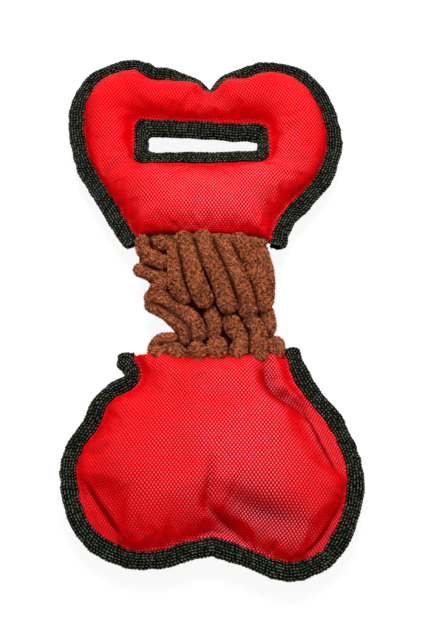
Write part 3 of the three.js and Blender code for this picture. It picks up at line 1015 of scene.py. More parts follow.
@dataclass(frozen=True)
class Strip:
    """A stretch of cloth that lies flat beside the binding, before the padding rises.

    The stretch runs between two shares of the rim: 0 at the plus side's neck corner, 1 at the notch between
    the lobes and 2 at the minus side's neck corner.
    """

    start: float
    end: float
    width: float
    kept: float = 0.32
    step: float = 0.42
    steep_rise: tuple = (0.75, 1.1)
    slow_rise: tuple = (0.85, 3.0)
    # Where the painted shade's dark line lies, in shares of the strip's width, and how wide it is
    line_at: float = 0.97
    line_width: float = 0.17
    end_power: float = 0.6
    fullness: float = 1.6

    def factor(self, share: np.ndarray, reach: np.ndarray) -> np.ndarray:
        """How much of its height each place keeps.

        Args:
            share: The share of the rim beside each place.
            reach: How far each place lies from the seam line.

        Returns:
            The factors, 1 away from the strip.
        """
        away, strength = self.measured(share, reach)
        steep, slow = smooth_step(*self.steep_rise, away), smooth_step(*self.slow_rise, away)
        rise = self.step * steep + (1 - self.step) * slow
        return 1 - (1 - self.kept) * strength * (1 - rise)

    def valley(self, share: np.ndarray, reach: np.ndarray) -> np.ndarray:
        """How much painted shade each place takes in the dark line where the padding starts to rise."""
        away, strength = self.measured(share, reach)
        return strength * np.exp(-(((away - self.line_at) / self.line_width) ** 2))

    def measured(self, share: np.ndarray, reach: np.ndarray) -> tuple[np.ndarray, np.ndarray]:
        """Measures places against the strip.

        Args:
            share: The share of the rim beside each place.
            reach: How far each place lies from the seam line.

        Returns:
            Each place's reach in shares of the strip's width there, and how strong the strip is beside it.
        """
        way = np.clip((share - self.start) / (self.end - self.start), 0.0, 1.0)
        bulge = np.sin(math.pi * way)
        least = 1e-3
        away = reach / np.maximum(self.width * bulge**self.end_power, least)
        return away, np.minimum(1.0, self.fullness * bulge)


@dataclass(frozen=True)
class Hub:
    """A rounded rectangle in the middle of a pad, which is its crown."""

    centre: tuple[float, float]
    half_length: float
    half_width: float
    corner: float

    def distance(self, places: np.ndarray) -> np.ndarray:
        """How far places lie outside the rectangle, or how far inside as a negative length.

        Args:
            places: Plan places in millimetres.

        Returns:
            The distances.
        """
        core = np.array([self.half_length - self.corner, self.half_width - self.corner])
        seen = np.abs(places - np.array(self.centre)) - core
        outside = np.linalg.norm(np.maximum(seen, 0.0), axis=1)
        return outside + np.minimum(seen.max(axis=1), 0.0) - self.corner


@dataclass(frozen=True)
class Outline:
    """The plan of a pad, in shares of its half width across and of its length from the neck."""

    plus_side_shares: tuple
    minus_side_shares: tuple
    notch_depth: float
    plus_overrun: float
    minus_overrun: float


@dataclass
class Rim:
    """Stations along an edge that webbing is folded over.

    Each has its place on the fold, the direction into the cloth, the direction along, how deep the webbing
    reaches, how far the seam is lifted there and its share of the way.
    """

    edge: np.ndarray
    inward: np.ndarray
    along: np.ndarray
    depth: np.ndarray
    lift: np.ndarray
    share: np.ndarray

    def inset(self, distance: np.ndarray | float) -> np.ndarray:
        """The places a distance inside the edge."""
        return self.edge + self.inward * np.reshape(distance, (-1, 1))


@dataclass
class SeamLoop:
    """The line where a panel leaves the binding and crosses the open neck.

    It has the plan places, the height of the cloth above the seam and the seam's lift, all round, and how
    many of the places lie along the binding.
    """

    line: np.ndarray
    base: np.ndarray
    lift: np.ndarray
    bound_count: int


@dataclass(frozen=True)
class Slot:
    """The hand slot: an oblong whose corners the cloth's pull has moved a little."""

    centre: tuple[float, float]
    half_length: float = 37.5
    half_width: float = 6.0
    corner: float = 4.0
    outer_corner: float = 6.5
    per_side: int = 60
    per_end: int = 9
    per_corner: int = 12
    inner_shifts: tuple = ((0.0, 3.0), (0.0, -2.0), (0.0, 0.3), (0.0, 0.8))
    outer_shifts: tuple = ((1.2, 4.0), (-2.8, 0.0), (1.2, 1.5), (-2.8, 3.0))

    def loop(self, grown: float, corner: float, shifts: tuple) -> np.ndarray:
        """Matching places round the slot.

        Args:
            grown: How far outside the opening they lie.
            corner: The radius of the corners there.
            shifts: How far the upper left, upper right, lower left and lower right corners are moved.

        Returns:
            The places, one a row, anticlockwise from the right.
        """
        half = np.array([self.half_length + grown, self.half_width + grown]) - corner
        arcs = []
        for number, sign in enumerate([(1, 1), (-1, 1), (-1, -1), (1, -1)]):
            angles = np.linspace(number * math.pi / 2, (number + 1) * math.pi / 2, self.per_corner)
            arcs.append(half * sign + corner * np.column_stack([np.cos(angles), np.sin(angles)]))
        places = []
        for number, arc in enumerate(arcs):
            ahead = arcs[(number + 1) % len(arcs)][0]
            count = self.per_side if number % 2 == 0 else self.per_end
            places += [arc, arc[-1] + (ahead - arc[-1]) * np.linspace(0, 1, count + 1)[1:-1, None]]
        flat = np.vstack(places)
        right, up = ((flat / (half + corner)) + 1).T / 2
        upper_left, upper_right, lower_left, lower_right = np.array(shifts)
        upper = upper_left + (upper_right - upper_left) * right[:, None]
        lower = lower_left + (lower_right - lower_left) * right[:, None]
        return flat + lower + (upper - lower) * up[:, None] + np.array(self.centre)

    def rim(self) -> Rim:
        """The slot's edge as stations, with the cloth outside it.

        Returns:
            The stations.
        """
        inner = self.loop(0.0, self.corner, self.inner_shifts)
        outer = self.loop(BINDING_DEPTH, self.outer_corner, self.outer_shifts)
        count = len(inner)
        return Rim(
            edge=inner,
            inward=(outer - inner) / BINDING_DEPTH,
            along=np.gradient(inner, axis=0),
            depth=np.full(count, BINDING_DEPTH),
            lift=np.zeros(count),
            share=np.arange(count) / count,
        )


@dataclass
class Pad:
    """One padded end: two nylon panels over fill, with webbing folded over the edge."""

    name: str
    body: str
    length: float
    neck_y: float
    is_turned: bool
    outline: Outline
    hub: Hub | None
    crown: float
    back_crown: float
    creases: tuple[Crease, ...]
    folds: tuple[Fold, ...] = ()
    strips: tuple[Strip, ...] = ()
    slot: Slot | None = None
    # Where the nylon's painted glints show: a spot in shares of the plan, fading to the least strength, and
    # fainter on slopes
    shine_centre: tuple[float, float] = (0.0, 0.5)
    shine_half: tuple[float, float] = (0.75, 0.9)
    shine_slope: tuple[float, float] = (0.6, 0.97)
    least_shine: float = 0.14
    neck_dip: float = 0.0
    neck_opening: float = 9.0
    neck_hem: float = 3.0
    hem_drop: float = 0.6
    ring_steepness: float = 0.45
    ring_roundness: float = 0.6
    crease_end: float = 0.03
    crease_power: float = 0.4
    notch_fade: tuple[float, float] = (1.0, 0.86)
    seam_waves: int = 5
    evening: int = 6
    pucker: float = 0.55
    back_pucker: float = 0.7
    pucker_fade: float = 6.0
    pucker_waves: tuple = ((31, 60, 0.35), (32, 25, 0.3))
    cell: float = 2.3
    net_jitter: float = 0.12
    net_seed: int = 5
    edge_clearance: float = 0.6
    spare_cloth: float = 0.035
    pressure: float = 5.0
    cloth_mass: float = 0.1
    cloth_stiffness: float = 0.25
    most_moved: float = 5.0
    pressed_again: float = 0.3
    pressed_from: float = 2.0
    sim_scale: float = 10.0
    sim_steps: int = 22
    sim_quality: int = 5
    stations_per_side: int = 230
    rim: Rim = field(init=False)
    slot_line: np.ndarray | None = field(init=False)

    def __post_init__(self) -> None:
        """Works out the rim that the panels and the binding share."""
        self.size = np.array([PAD_HALF_WIDTH, self.length])
        self.turn = -1.0 if self.is_turned else 1.0
        self.rim = self.make_rim()
        self.seam_line = self.rim.inset(self.rim.depth + SEAM_GAP)
        self.slot_line = even_loop(self.slot.rim().inset(FLANGE), self.cell) if self.slot else None

    def from_hub(self, places: np.ndarray) -> np.ndarray:
        """How far places lie outside the crown or the slot's binding, negative inside.

        Args:
            places: Plan places in millimetres.

        Returns:
            The distances.
        """
        if self.slot is None:
            return self.hub.distance(places)
        reach, _ = nearest_on(self.slot_line, places)
        return np.where(is_inside(self.slot_line, places), -reach, reach)

    def place(self, points: np.ndarray) -> np.ndarray:
        """Moves points from the pad's own millimetres to the frame's metres."""
        flat = points * np.array([self.turn, self.turn, 1.0]) * MM
        return flat + np.array([CENTRE_X, self.neck_y, SEAM_Z])

    def plan(self, metres: np.ndarray) -> np.ndarray:
        """Moves points from the frame's metres back to the pad's own millimetres."""
        local = (metres - np.array([CENTRE_X, self.neck_y, SEAM_Z])) / MM
        return local * np.array([self.turn, self.turn, 1.0])

    def make_rim(self) -> Rim:
        """The stations from the plus side's neck corner round both lobes to the other corner.

        Returns:
            The stations.
        """
        outline = self.outline
        sides = []
        for shares in (outline.plus_side_shares, outline.minus_side_shares):
            sides.append(flowing_curve(np.array(shares) * self.size, self.stations_per_side))
        share = np.linspace(0.0, 1.0, self.stations_per_side)
        deeper = BINDING_DEPTH - outline.notch_depth
        depth = outline.notch_depth + deeper * smooth_step(*self.notch_fade, share)
        lift = SEAM_RIPPLE * np.sin(self.seam_waves * math.pi * share) * np.sin(math.pi * share)
        plus, minus = (unit_rows(np.gradient(points, axis=0)) for points in sides)
        plus_in = np.column_stack([-plus[:, 1], plus[:, 0]])
        minus_in = np.column_stack([minus[:, 1], -minus[:, 0]])
        plus_in[-1] = minus_in[-1] = (0.0, -1.0)
        back = slice(-2, None, -1)
        return Rim(
            edge=np.vstack([sides[0], sides[1][back]]),
            inward=self.even_out(np.vstack([plus_in, minus_in[back]])),
            along=np.vstack([plus, -minus[back]]),
            depth=np.concatenate([depth, depth[back]]),
            lift=np.concatenate([lift, lift[back]]),
            share=np.concatenate([share, 2 - share[back]]),
        )

    def even_out(self, directions: np.ndarray) -> np.ndarray:
        """Turns directions gradually past a sharp corner, so that stations there don't cross.

        Args:
            directions: The directions, one a row.

        Returns:
            The evened directions.
        """
        for _ in range(self.evening):
            directions[1:-1] = (directions[:-2] + 2 * directions[1:-1] + directions[2:]) / 4
        return unit_rows(directions)

    def seam_loop(self, side: Side) -> SeamLoop:
        """The line where a panel leaves the binding and crosses the open neck.

        Args:
            side: Front or back.

        Returns:
            The line.
        """
        length = lengths_of(np.diff(self.seam_line, axis=0)).sum()
        whole = np.column_stack([self.seam_line, self.rim.lift])
        bound = even_spread(whole, int(length / self.cell))
        right, left = bound[0, 0], bound[-1, 0]
        count = int((right - left) / self.cell)
        angle = np.linspace(0.0, math.pi, count + 2)[1:-1]
        shares = -np.cos(angle)
        dip = self.neck_dip if side is Side.FRONT else 0.0
        level = (bound[0, 1] + bound[-1, 1]) / 2 + shares * (bound[0, 1] - bound[-1, 1]) / 2
        across = (right + left) / 2 + shares * (right - left) / 2
        neck = np.column_stack([across, level + dip * (1 - shares**2)])
        opening = self.neck_opening * np.sqrt(1 - shares**2)
        base = np.concatenate([np.full(len(bound), STACK_HALF), STACK_HALF + opening])
        lift = np.concatenate([bound[:, 2], np.zeros(count)])
        return SeamLoop(np.vstack([bound[:, :2], neck]), base, lift, len(bound))

    def height(self, side: Side, places: np.ndarray, loop: SeamLoop) -> np.ndarray:
        """How far the cloth stands from the seam plane, before it is simulated.

        Args:
            side: Front or back.
            places: Plan places, one a row.
            loop: The panel's seam line.

        Returns:
            The signed heights.
        """
        least = 1e-6
        reach, nearest = nearest_on(loop.line, places)
        base, lift = loop.base[nearest], loop.lift[nearest]
        to_hub = np.maximum(self.from_hub(places), 0.0)
        share = reach / np.maximum(reach + to_hub, least)
        if self.slot:
            swell = np.sin(math.pi * share) ** self.ring_roundness
            rise = np.minimum(self.crown, self.ring_steepness * (reach + to_hub)) - (base - STACK_HALF) / 2
            height = base + (STACK_HALF - base) * share + rise * swell
        else:
            swell = np.sqrt(1 - (1 - share) ** 2)
            crown = self.crown if side is Side.FRONT else self.back_crown
            height = base + (crown - base) * swell
        if side is Side.FRONT:
            height = height - self.pressed(places) * swell
        else:
            height = np.minimum(height, SEAM_Z / MM)
        return lift * (1 - share) + side.value * height

    def pressed(self, places: np.ndarray) -> np.ndarray:
        """How deep the creases press the cloth at each place.

        Args:
            places: Plan places in millimetres.

        Returns:
            The depths.
        """
        total = np.zeros(len(places))
        inner = 1 - 2 * self.crease_end
        for crease in self.creases:
            start, end = np.array(crease.from_shares) * self.size, np.array(crease.to_shares) * self.size
            run = end - start
            at = np.clip((places - start) @ run / (run @ run), 0.0, 1.0)
            away = np.linalg.norm(places - start - at[:, None] * run, axis=1) / crease.half_width
            taper = np.sin(math.pi * np.clip(at * inner + self.crease_end, 0, 1)) ** self.crease_power
            total += crease.depth * np.exp(-(away**2)) * taper
        return total

    def panel(self, side: Side, finish: Material) -> Piece:
        """Makes one nylon panel, blows it up by simulation and gives it its thickness.

        Args:
            side: Front or back.
            finish: The nylon.

        Returns:
            The panel.
        """
        loop = self.seam_loop(side)
        flat, faces, origin, held_count = self.cut_out(loop.line)
        if side is Side.BACK:
            faces = faces[:, ::-1]
        is_held = origin < held_count
        height = self.height(side, flat, loop)
        height[is_held & (origin >= len(loop.line))] = side.value * STACK_HALF
        local = np.column_stack([flat, height])
        name = f"{self.name}_{side.name.lower()}"
        piece = make_piece(f"{name}_cloth", self.place(local), faces, finish)
        lay_cut(piece, local[:, :2])
        self.simulate(piece, is_held, side)
        self.add_flanges(piece, origin, loop, side)
        subdivide = piece.modifiers.new("rounding", "SUBSURF")
        subdivide.levels = subdivide.render_levels = 1
        settle(piece)
        self.fold_up(piece, side, loop.line)
        solid = piece.modifiers.new("thickness", "SOLIDIFY")
        solid.thickness = CLOTH_THICKNESS * MM
        solid.offset = -1.0
        settle(piece)
        # Where the nylon's painted highlights show
        store(piece, "shine", self.shine_at(piece))
        return seat(piece, self.body, "red_nylon", f"{name}_panel")

    def cut_out(self, line: np.ndarray) -> tuple[np.ndarray, np.ndarray, np.ndarray, int]:
        """Fills the seam line with triangles, round the slot's edge where there is one.

        Args:
            line: The seam line's plan places.

        Returns:
            The plan places, the triangles, each place's number in the order of seam line, slot's edge and
            inner places, and how many of these numbers the seams hold.
        """
        rings = [line] if self.slot is None else [line, self.slot_line[::-1]]
        places = np.vstack([*rings, self.inner_places(line)])
        edges, first = [], 0
        for ring in rings:
            edges += [(first + i, first + (i + 1) % len(ring)) for i in range(len(ring))]
            first += len(ring)
        points, _, faces, origin, *_ = delaunay_2d_cdt([Vector(p) for p in places], edges, [], 1, 1e-5)
        flat = np.array([tuple(p) for p in points])
        faces = np.array([face for face in faces if len(face) == 3])
        if self.slot:
            faces = faces[~is_inside(self.slot_line, flat[faces].mean(axis=1))]
        origin = np.array([min(sources) if sources else len(places) for sources in origin])
        return flat, faces, origin, first

    def inner_places(self, line: np.ndarray) -> np.ndarray:
        """Places inside the seam line on a triangular net, clear of the edges.

        Args:
            line: The seam line's plan places.

        Returns:
            The places.
        """
        low, high = line.min(axis=0), line.max(axis=0)
        net = []
        for number, y in enumerate(np.arange(low[1], high[1], self.cell * math.sqrt(0.75))):
            xs = np.arange(low[0] + (number % 2) * self.cell / 2, high[0], self.cell)
            net.append(np.column_stack([xs, np.full(len(xs), y)]))
        net = np.vstack(net)
        random = np.random.default_rng(self.net_seed)
        net += random.uniform(-self.net_jitter, self.net_jitter, net.shape) * self.cell
        net = net[is_inside(line, net)]
        reach, _ = nearest_on(line, net)
        keep = reach > self.edge_clearance * self.cell
        if self.slot:
            keep &= self.from_hub(net) > self.edge_clearance * self.cell
        return net[keep]

    def simulate(self, piece: Piece, is_held: np.ndarray, side: Side) -> None:
        """Blows a panel up as spare cloth held at its seams, and keeps what moved within bounds.

        Args:
            piece: The panel.
            is_held: Which points the seams hold.
            side: Front or back.
        """
        rest = points_of(piece)
        set_points(piece, rest * self.sim_scale)
        group = piece.vertex_groups.new(name="held")
        group.add(np.flatnonzero(is_held).tolist(), 1.0, "REPLACE")
        cloth = piece.modifiers.new("cloth", "CLOTH")
        settings = cloth.settings
        settings.quality = self.sim_quality
        settings.mass = self.cloth_mass
        settings.vertex_group_mass = "held"
        settings.use_pressure = True
        settings.uniform_pressure_force = self.pressure
        settings.shrink_min = -self.spare_cloth
        settings.bending_stiffness = self.cloth_stiffness
        settings.effector_weights.gravity = 0.0
        cloth.collision_settings.use_collision = False
        cloth.point_cache.frame_end = self.sim_steps
        for step in range(1, self.sim_steps + 1):
            bpy.context.scene.frame_set(step)
        moved = points_of(piece.evaluated_get(bpy.context.evaluated_depsgraph_get())) / self.sim_scale
        piece.modifiers.clear()
        piece.vertex_groups.clear()
        bpy.context.scene.frame_set(1)
        shift = moved - rest
        far = lengths_of(shift)
        shift *= self.most_moved * MM / np.maximum(far, self.most_moved * MM)
        settled = rest + shift
        if side is Side.FRONT:
            fullness = np.minimum(far[:, 0] / (self.pressed_from * MM), 1.0)
            settled[:, 2] -= self.pressed_again * self.pressed(self.plan(rest)[:, :2]) * MM * fullness
        settled[:, 2] = np.maximum(settled[:, 2], 0.0)
        set_points(piece, settled)
        LOG.info("%s: simulated, moved up to %.1f mm", piece.name, far.max() / MM)

    def fold_up(self, piece: Piece, side: Side, line: np.ndarray) -> None:
        """Adds the folds and flat strips, and the puckers where the cloth leaves its seams, and stores the
        painted shade of the valleys.

        Args:
            piece: The panel.
            side: Front or back.
            line: The seam line's plan places.
        """
        pucker_start, fold_start, strip_start = 3.0, 4.0, 1.5
        local = self.plan(points_of(piece))
        places = local[:, :2]
        reach, number = nearest_on(even_loop(line, self.cell / 4), places)
        reach[~is_inside(line, places)] = 0.0
        if self.slot:
            reach = np.minimum(reach, np.maximum(self.from_hub(places), 0.0))
        share = number / number.max()
        ripple = sum(wander(share, seed, count) * size for seed, count, size in self.pucker_waves)
        from_seam = np.exp(-reach / self.pucker_fade) * smooth_step(0.0, pucker_start, reach)
        rise = self.pucker * ripple * from_seam * (1.0 if side is Side.FRONT else self.back_pucker)
        height = local[:, 2] * side.value
        valley = np.zeros(len(places))
        if side is Side.FRONT:
            for fold in self.folds:
                rise = rise + fold.height(places, self.size) * smooth_step(0.0, fold_start, reach)
                valley = np.maximum(valley, fold.valley(places, self.size))
            _, station = nearest_on(self.seam_line, places)
            kept = np.ones(len(places))
            for strip in self.strips:
                kept *= strip.factor(self.rim.share[station], reach)
                valley = np.maximum(valley, strip.valley(self.rim.share[station], reach))
            rise -= np.maximum(height - STACK_HALF, 0.0) * (1 - kept) * smooth_step(0.0, strip_start, reach)
        lowest = np.minimum(height, STACK_HALF)
        local[:, 2] = side.value * np.where(reach > 0, np.maximum(height + rise, lowest), height)
        set_points(piece, np.maximum(self.place(local), [-np.inf, -np.inf, 0.0]))
        # Painted shade for the nylon: how deep each place lies in a fold's valley or a strip's dark line
        store(piece, "valley", valley)

    def shine_at(self, piece: Piece) -> np.ndarray:
        """How strongly the painted glints show on each place's threads, from 0 to 1: strongest in a spot
        where the light falls, fainter on slopes.

        Args:
            piece: The panel.

        Returns:
            The strengths.
        """
        shares = self.plan(points_of(piece))[:, :2] / self.size
        away = ((shares - np.array(self.shine_centre)) / np.array(self.shine_half)) ** 2
        spot = self.least_shine + (1 - self.least_shine) * np.exp(-away.sum(axis=1))
        return spot * smooth_step(*self.shine_slope, np.abs(normals_of(piece)[:, 2]))

    def add_flanges(self, piece: Piece, origin: np.ndarray, loop: SeamLoop, side: Side) -> None:
        """Runs the cloth on from its seams to under the webbing.

        Args:
            piece: The panel.
            origin: Each point's number among the places that it was made from.
            loop: The panel's seam line, whose places come first among them.
            side: Front or back.
        """
        digits = 7
        local = self.plan(points_of(piece))
        _, station = nearest_on(self.seam_line, local[:, :2])
        under = WEBBING_THICKNESS + SEAM_GAP
        rim_places = self.rim.inset(under)
        if self.slot:
            slot_rim = self.slot.rim()
            _, slot_station = nearest_on(slot_rim.inset(FLANGE), local[:, :2])
            slot_places = slot_rim.inset(under)
        with reshaped(piece) as shape:
            lookup = {tuple(round(c, digits) for c in vert.co): i for i, vert in enumerate(shape.verts)}
            border = [edge for edge in shape.edges if edge.is_boundary]
            grown = bmesh.ops.extrude_edge_only(shape, edges=border)
            for vert in (item for item in grown["geom"] if isinstance(item, bmesh.types.BMVert)):
                number = lookup[tuple(round(c, digits) for c in vert.co)]
                here = local[number]
                if origin[number] >= len(loop.line):
                    target = np.array([*slot_places[slot_station[number]], side.value * STACK_HALF])
                elif origin[number] >= loop.bound_count:
                    target = here + np.array([0.0, self.neck_hem, -side.value * self.hem_drop])
                else:
                    target = np.array([*rim_places[station[number]], here[2]])
                vert.co = Vector(self.place(target[None])[0])


def nearest_on(line: np.ndarray, places: np.ndarray) -> tuple[np.ndarray, np.ndarray]:
    """Finds the nearest of a line's points to each place.

    Args:
        line: The line's points, one a row.
        places: The places, one a row.

    Returns:
        The distances, and the points' numbers.
    """
    chunk_size = 2000
    distance = np.empty(len(places))
    number = np.empty(len(places), int)
    for start in range(0, len(places), chunk_size):
        chunk = places[start : start + chunk_size]
        squares = ((chunk[:, None, :] - line[None, :, :]) ** 2).sum(axis=2)
        best = squares.argmin(axis=1)
        number[start : start + chunk_size] = best
        distance[start : start + chunk_size] = np.sqrt(squares[np.arange(len(chunk)), best])
    return distance, number


def even_loop(line: np.ndarray, spacing: float) -> np.ndarray:
    """Places about a spacing apart round a closed line.

    Args:
        line: The line's points, one a row.
        spacing: The spacing.

    Returns:
        The places, one a row.
    """
    whole = np.vstack([line, line[:1]])
    length = lengths_of(np.diff(whole, axis=0)).sum()
    return even_spread(whole, int(length / spacing) + 1)[:-1]


def is_inside(line: np.ndarray, places: np.ndarray) -> np.ndarray:
    """Whether each place lies inside a closed line.

    Args:
        line: The line's points, one a row.
        places: The places, one a row.

    Returns:
        True or false for each place.
    """
    inside = np.zeros(len(places), bool)
    for (x0, y0), (x1, y1) in zip(line, np.roll(line, -1, axis=0)):
        crosses = (y0 > places[:, 1]) != (y1 > places[:, 1])
        with np.errstate(divide="ignore", invalid="ignore"):
            at = (x1 - x0) * (places[:, 1] - y0) / (y1 - y0) + x0
        inside ^= crosses & (places[:, 0] < at)
    return inside


def lay_cut(piece: Piece, flat: np.ndarray) -> None:
    """Unwraps a panel as the flat cloth it was cut from, at true size, and stores it as a UV map.

    Args:
        piece: The panel.
        flat: Each point's plan place in millimetres, which the cut is turned and sized to.
    """
    piece.data.uv_layers.new(name="cut")
    bpy.context.view_layer.objects.active = piece
    piece.select_set(True)
    bpy.ops.object.mode_set(mode="EDIT")
    bpy.ops.mesh.select_all(action="SELECT")
    bpy.ops.uv.unwrap(method="MINIMUM_STRETCH", margin=0.0)
    bpy.ops.object.mode_set(mode="OBJECT")
    piece.select_set(False)
    layer = piece.data.uv_layers["cut"]
    raw = rows_of(layer.data, "uv", 2)
    corner = rows_of(piece.data.loops, "vertex_index", 1, int)[:, 0]
    plan = flat[corner] * MM
    centred, target = raw - raw.mean(axis=0), plan - plan.mean(axis=0)
    left, _, right = np.linalg.svd(centred.T @ target)
    points = points_of(piece)[corner].reshape(-1, 3, 3)
    true_area = lengths_of(np.cross(points[:, 1] - points[:, 0], points[:, 2] - points[:, 0])).sum()
    faces = centred.reshape(-1, 3, 2)
    spans = faces[:, 1:] - faces[:, :1]
    flat_area = np.abs(spans[:, 0, 0] * spans[:, 1, 1] - spans[:, 0, 1] * spans[:, 1, 0]).sum()
    cut = centred @ (left @ right) * math.sqrt(true_area / flat_area)
    layer.data.foreach_set("uv", cut.astype(np.float32).ravel())


def join(first: Piece, *others: Piece) -> Piece:
    """Joins other pieces into the first, with their materials and attributes.

    Args:
        first: The piece that is kept.
        others: The pieces that become part of it.

    Returns:
        The first piece.
    """
    pieces = [first, *others]
    chosen = {"selected_editable_objects": pieces, "selected_objects": pieces}
    with bpy.context.temp_override(active_object=first, **chosen):
        bpy.ops.object.join()
    return first


def fold_section(depth: float, count: int = 8) -> tuple[np.ndarray, np.ndarray]:
    """Webbing folded over an edge, seen end on.

    Args:
        depth: How far each leg reaches in from the fold.
        count: Points along each leg.

    Returns:
        The outer and the inner line from the front leg's end round the fold, each with rows of
        distance in from the fold and height above the seam.
    """
    fold, pillow, pillow_power = 3.2, 0.45, 0.7
    dip, dip_from_end, dip_width = 0.4, 2.4, 1.0
    bend_count, bend_power = 9, 0.8
    leg = np.linspace(depth, fold, count, endpoint=False)
    turn = np.linspace(0.0, math.pi, bend_count)
    bulge = pillow * np.sin(math.pi * (depth - leg) / (depth - fold) * 0.5) ** pillow_power
    seam_dip = dip * np.exp(-(((leg - depth + dip_from_end) / dip_width) ** 2))
    front = np.column_stack([leg, LEG_OUTER + bulge - seam_dip])
    bend = np.column_stack([fold * (1 - np.sin(turn) ** bend_power), (LEG_OUTER + pillow) * np.cos(turn)])
    outer = np.vstack([front, bend, front[::-1] * (1, -1)])
    inner_front = np.column_stack([leg, np.full(count, LEG_INNER)])
    hollow = fold - WEBBING_THICKNESS
    inner_bend = np.column_stack([fold - hollow * np.sin(turn) ** bend_power, LEG_INNER * np.cos(turn)])
    inner = np.vstack([inner_front, inner_bend, inner_front[::-1] * (1, -1)])
    return outer, inner


def taken_at(places: np.ndarray, known: np.ndarray, rows: np.ndarray) -> np.ndarray:
    """Rows worked out between known ones.

    Args:
        places: Where the rows are wanted.
        known: Where they are known.
        rows: The known rows.

    Returns:
        The wanted rows.
    """
    return np.column_stack([np.interp(places, known, column) for column in rows.T])


@dataclass
class Folded:
    """Webbing folded over a run of stations: a dark ground, with its yarns' floats laid on it."""

    name: str
    ground: Material
    floats: Material
    columns: int = 14
    pitch: float = 2.15
    column_step: float = 0.36
    lean: float = math.radians(16.0)
    lean_spread: float = 0.13
    half_length: float = 0.82
    half_width: float = 0.43
    half_height: float = 0.4
    unevenness: float = 0.35
    float_drift: float = 0.28
    float_seed: int = 17
    edge_waver: float = 0.45
    edge_drawn_in: float = 0.4
    height_waver: float = 0.3
    fine_wave: float = 9.0
    coarse_wave: float = 26.0
    is_loop: bool = False

    def build(self, edge: np.ndarray, reach: np.ndarray, depth: np.ndarray, lift: np.ndarray) -> Piece:
        """Makes the webbing.

        Args:
            edge: Each station's place on the fold, in metres.
            reach: The direction and scale that the legs take inwards.
            depth: How deep the legs reach.
            lift: Each station's height, in millimetres.

        Returns:
            The piece, in metres.
        """
        count = len(edge)
        at = np.arange(count) / count
        length = lengths_of(np.diff(edge, axis=0)).sum() / MM
        fine, coarse = int(length / self.fine_wave), int(length / self.coarse_wave)
        wobbles = []
        for number, (coarse_share, fine_share) in enumerate(((0.6, 0.4), (0.5, 0.5), (0.5, 0.5))):
            seed = len(self.name) + 2 * number
            wobbles.append(coarse_share * wander(at, seed, coarse) + fine_share * wander(at, seed + 1, fine))
        shift, cut = self.edge_waver * wobbles[0], self.edge_waver * wobbles[2]
        lean = self.height_waver * wobbles[1]
        outer_rings, inner_rings = [], []
        for i in range(count):
            held = min(1.0, depth[i] / BINDING_DEPTH)
            section = fold_section(depth[i] + held * (cut[i] - self.edge_drawn_in))
            for line, rings in zip(section, (outer_rings, inner_rings)):
                loose = np.clip(1 - line[:, 0] / depth[i], 0, 1)
                flat = edge[i, :2] + reach[i] * (line[:, :1] + held * shift[i] * loose[:, None]) * MM
                height = edge[i, 2] + (lift[i] + lean[i] * loose + line[:, 1]) * MM
                rings.append(np.column_stack([flat, height]))
        outer_rings, inner_rings = np.array(outer_rings), np.array(inner_rings)
        rings = np.concatenate([outer_rings, inner_rings[:, ::-1]], axis=1)
        around = rings.shape[1]
        faces = ring_faces(count, around, self.is_loop)
        if not self.is_loop:
            for first in (0, (count - 1) * around):
                for i in range(around // 2 - 1):
                    faces.append((first + i, first + i + 1, first + around - 2 - i, first + around - 1 - i))
        piece = make_piece(self.name, rings.reshape(-1, 3), faces, self.ground)
        turn_out(piece)
        return join(piece, self.lay_floats(outer_rings))

    def lay_floats(self, rings: np.ndarray) -> Piece:
        """Lays the floats over the outside of the webbing, every column a part of a step on.

        Args:
            rings: The outer line at each station, in metres.

        Returns:
            The floats.
        """
        steps = np.linalg.norm(np.diff(rings, axis=1), axis=2).mean(axis=0)
        across = np.concatenate([[0.0], np.cumsum(steps)]) / steps.sum()
        if self.is_loop:
            rings = np.concatenate([rings, rings[:1]])
        fields = (rings, np.gradient(rings, axis=0), np.gradient(rings, axis=1))
        points, outwards, lyings = [], [], []
        random = np.random.default_rng(self.float_seed)
        for column in range(self.columns):
            share = (column + 0.5) / self.columns
            lines = [np.vstack([taken_at([share], across, ring) for ring in rows]) for rows in fields]
            run = run_along(lines[0]) / MM
            per_column = int(run[-1] / self.pitch)
            places = (np.arange(per_column) + (self.column_step * column) % 1.0) / per_column * run[-1]
            places = places + random.normal(0.0, self.float_drift, per_column)
            here, forward, sideways = (taken_at(places, run, line) for line in lines)
            forward, sideways = unit_rows(forward), unit_rows(sideways)
            lean = self.lean + random.normal(0.0, self.lean_spread, per_column)[:, None]
            points.append(here)
            outwards.append(unit_rows(np.cross(forward, sideways)))
            lyings.append(forward * np.cos(lean) + sideways * np.sin(lean))
        points, outwards = np.vstack(points), np.vstack(outwards)
        centre = rings.mean(axis=1)
        nearest = np.array([((centre - p) ** 2).sum(axis=1).argmin() for p in points])
        outwards[((points - centre[nearest]) * outwards).sum(axis=1) < 0] *= -1
        cloud = make_piece(f"{self.name}_floats", points, [])
        store(cloud, "outward", outwards)
        store(cloud, "lying", np.vstack(lyings))
        halves = {"Length": self.half_length, "Width": self.half_width, "Height": self.half_height}
        sizes = {f"Half {name}": value * MM for name, value in halves.items()}
        more = {"Unevenness": self.unevenness, "Around": 6, "Material": self.floats}
        return run_tree(cloud, laid_tree(), {**sizes, **more})


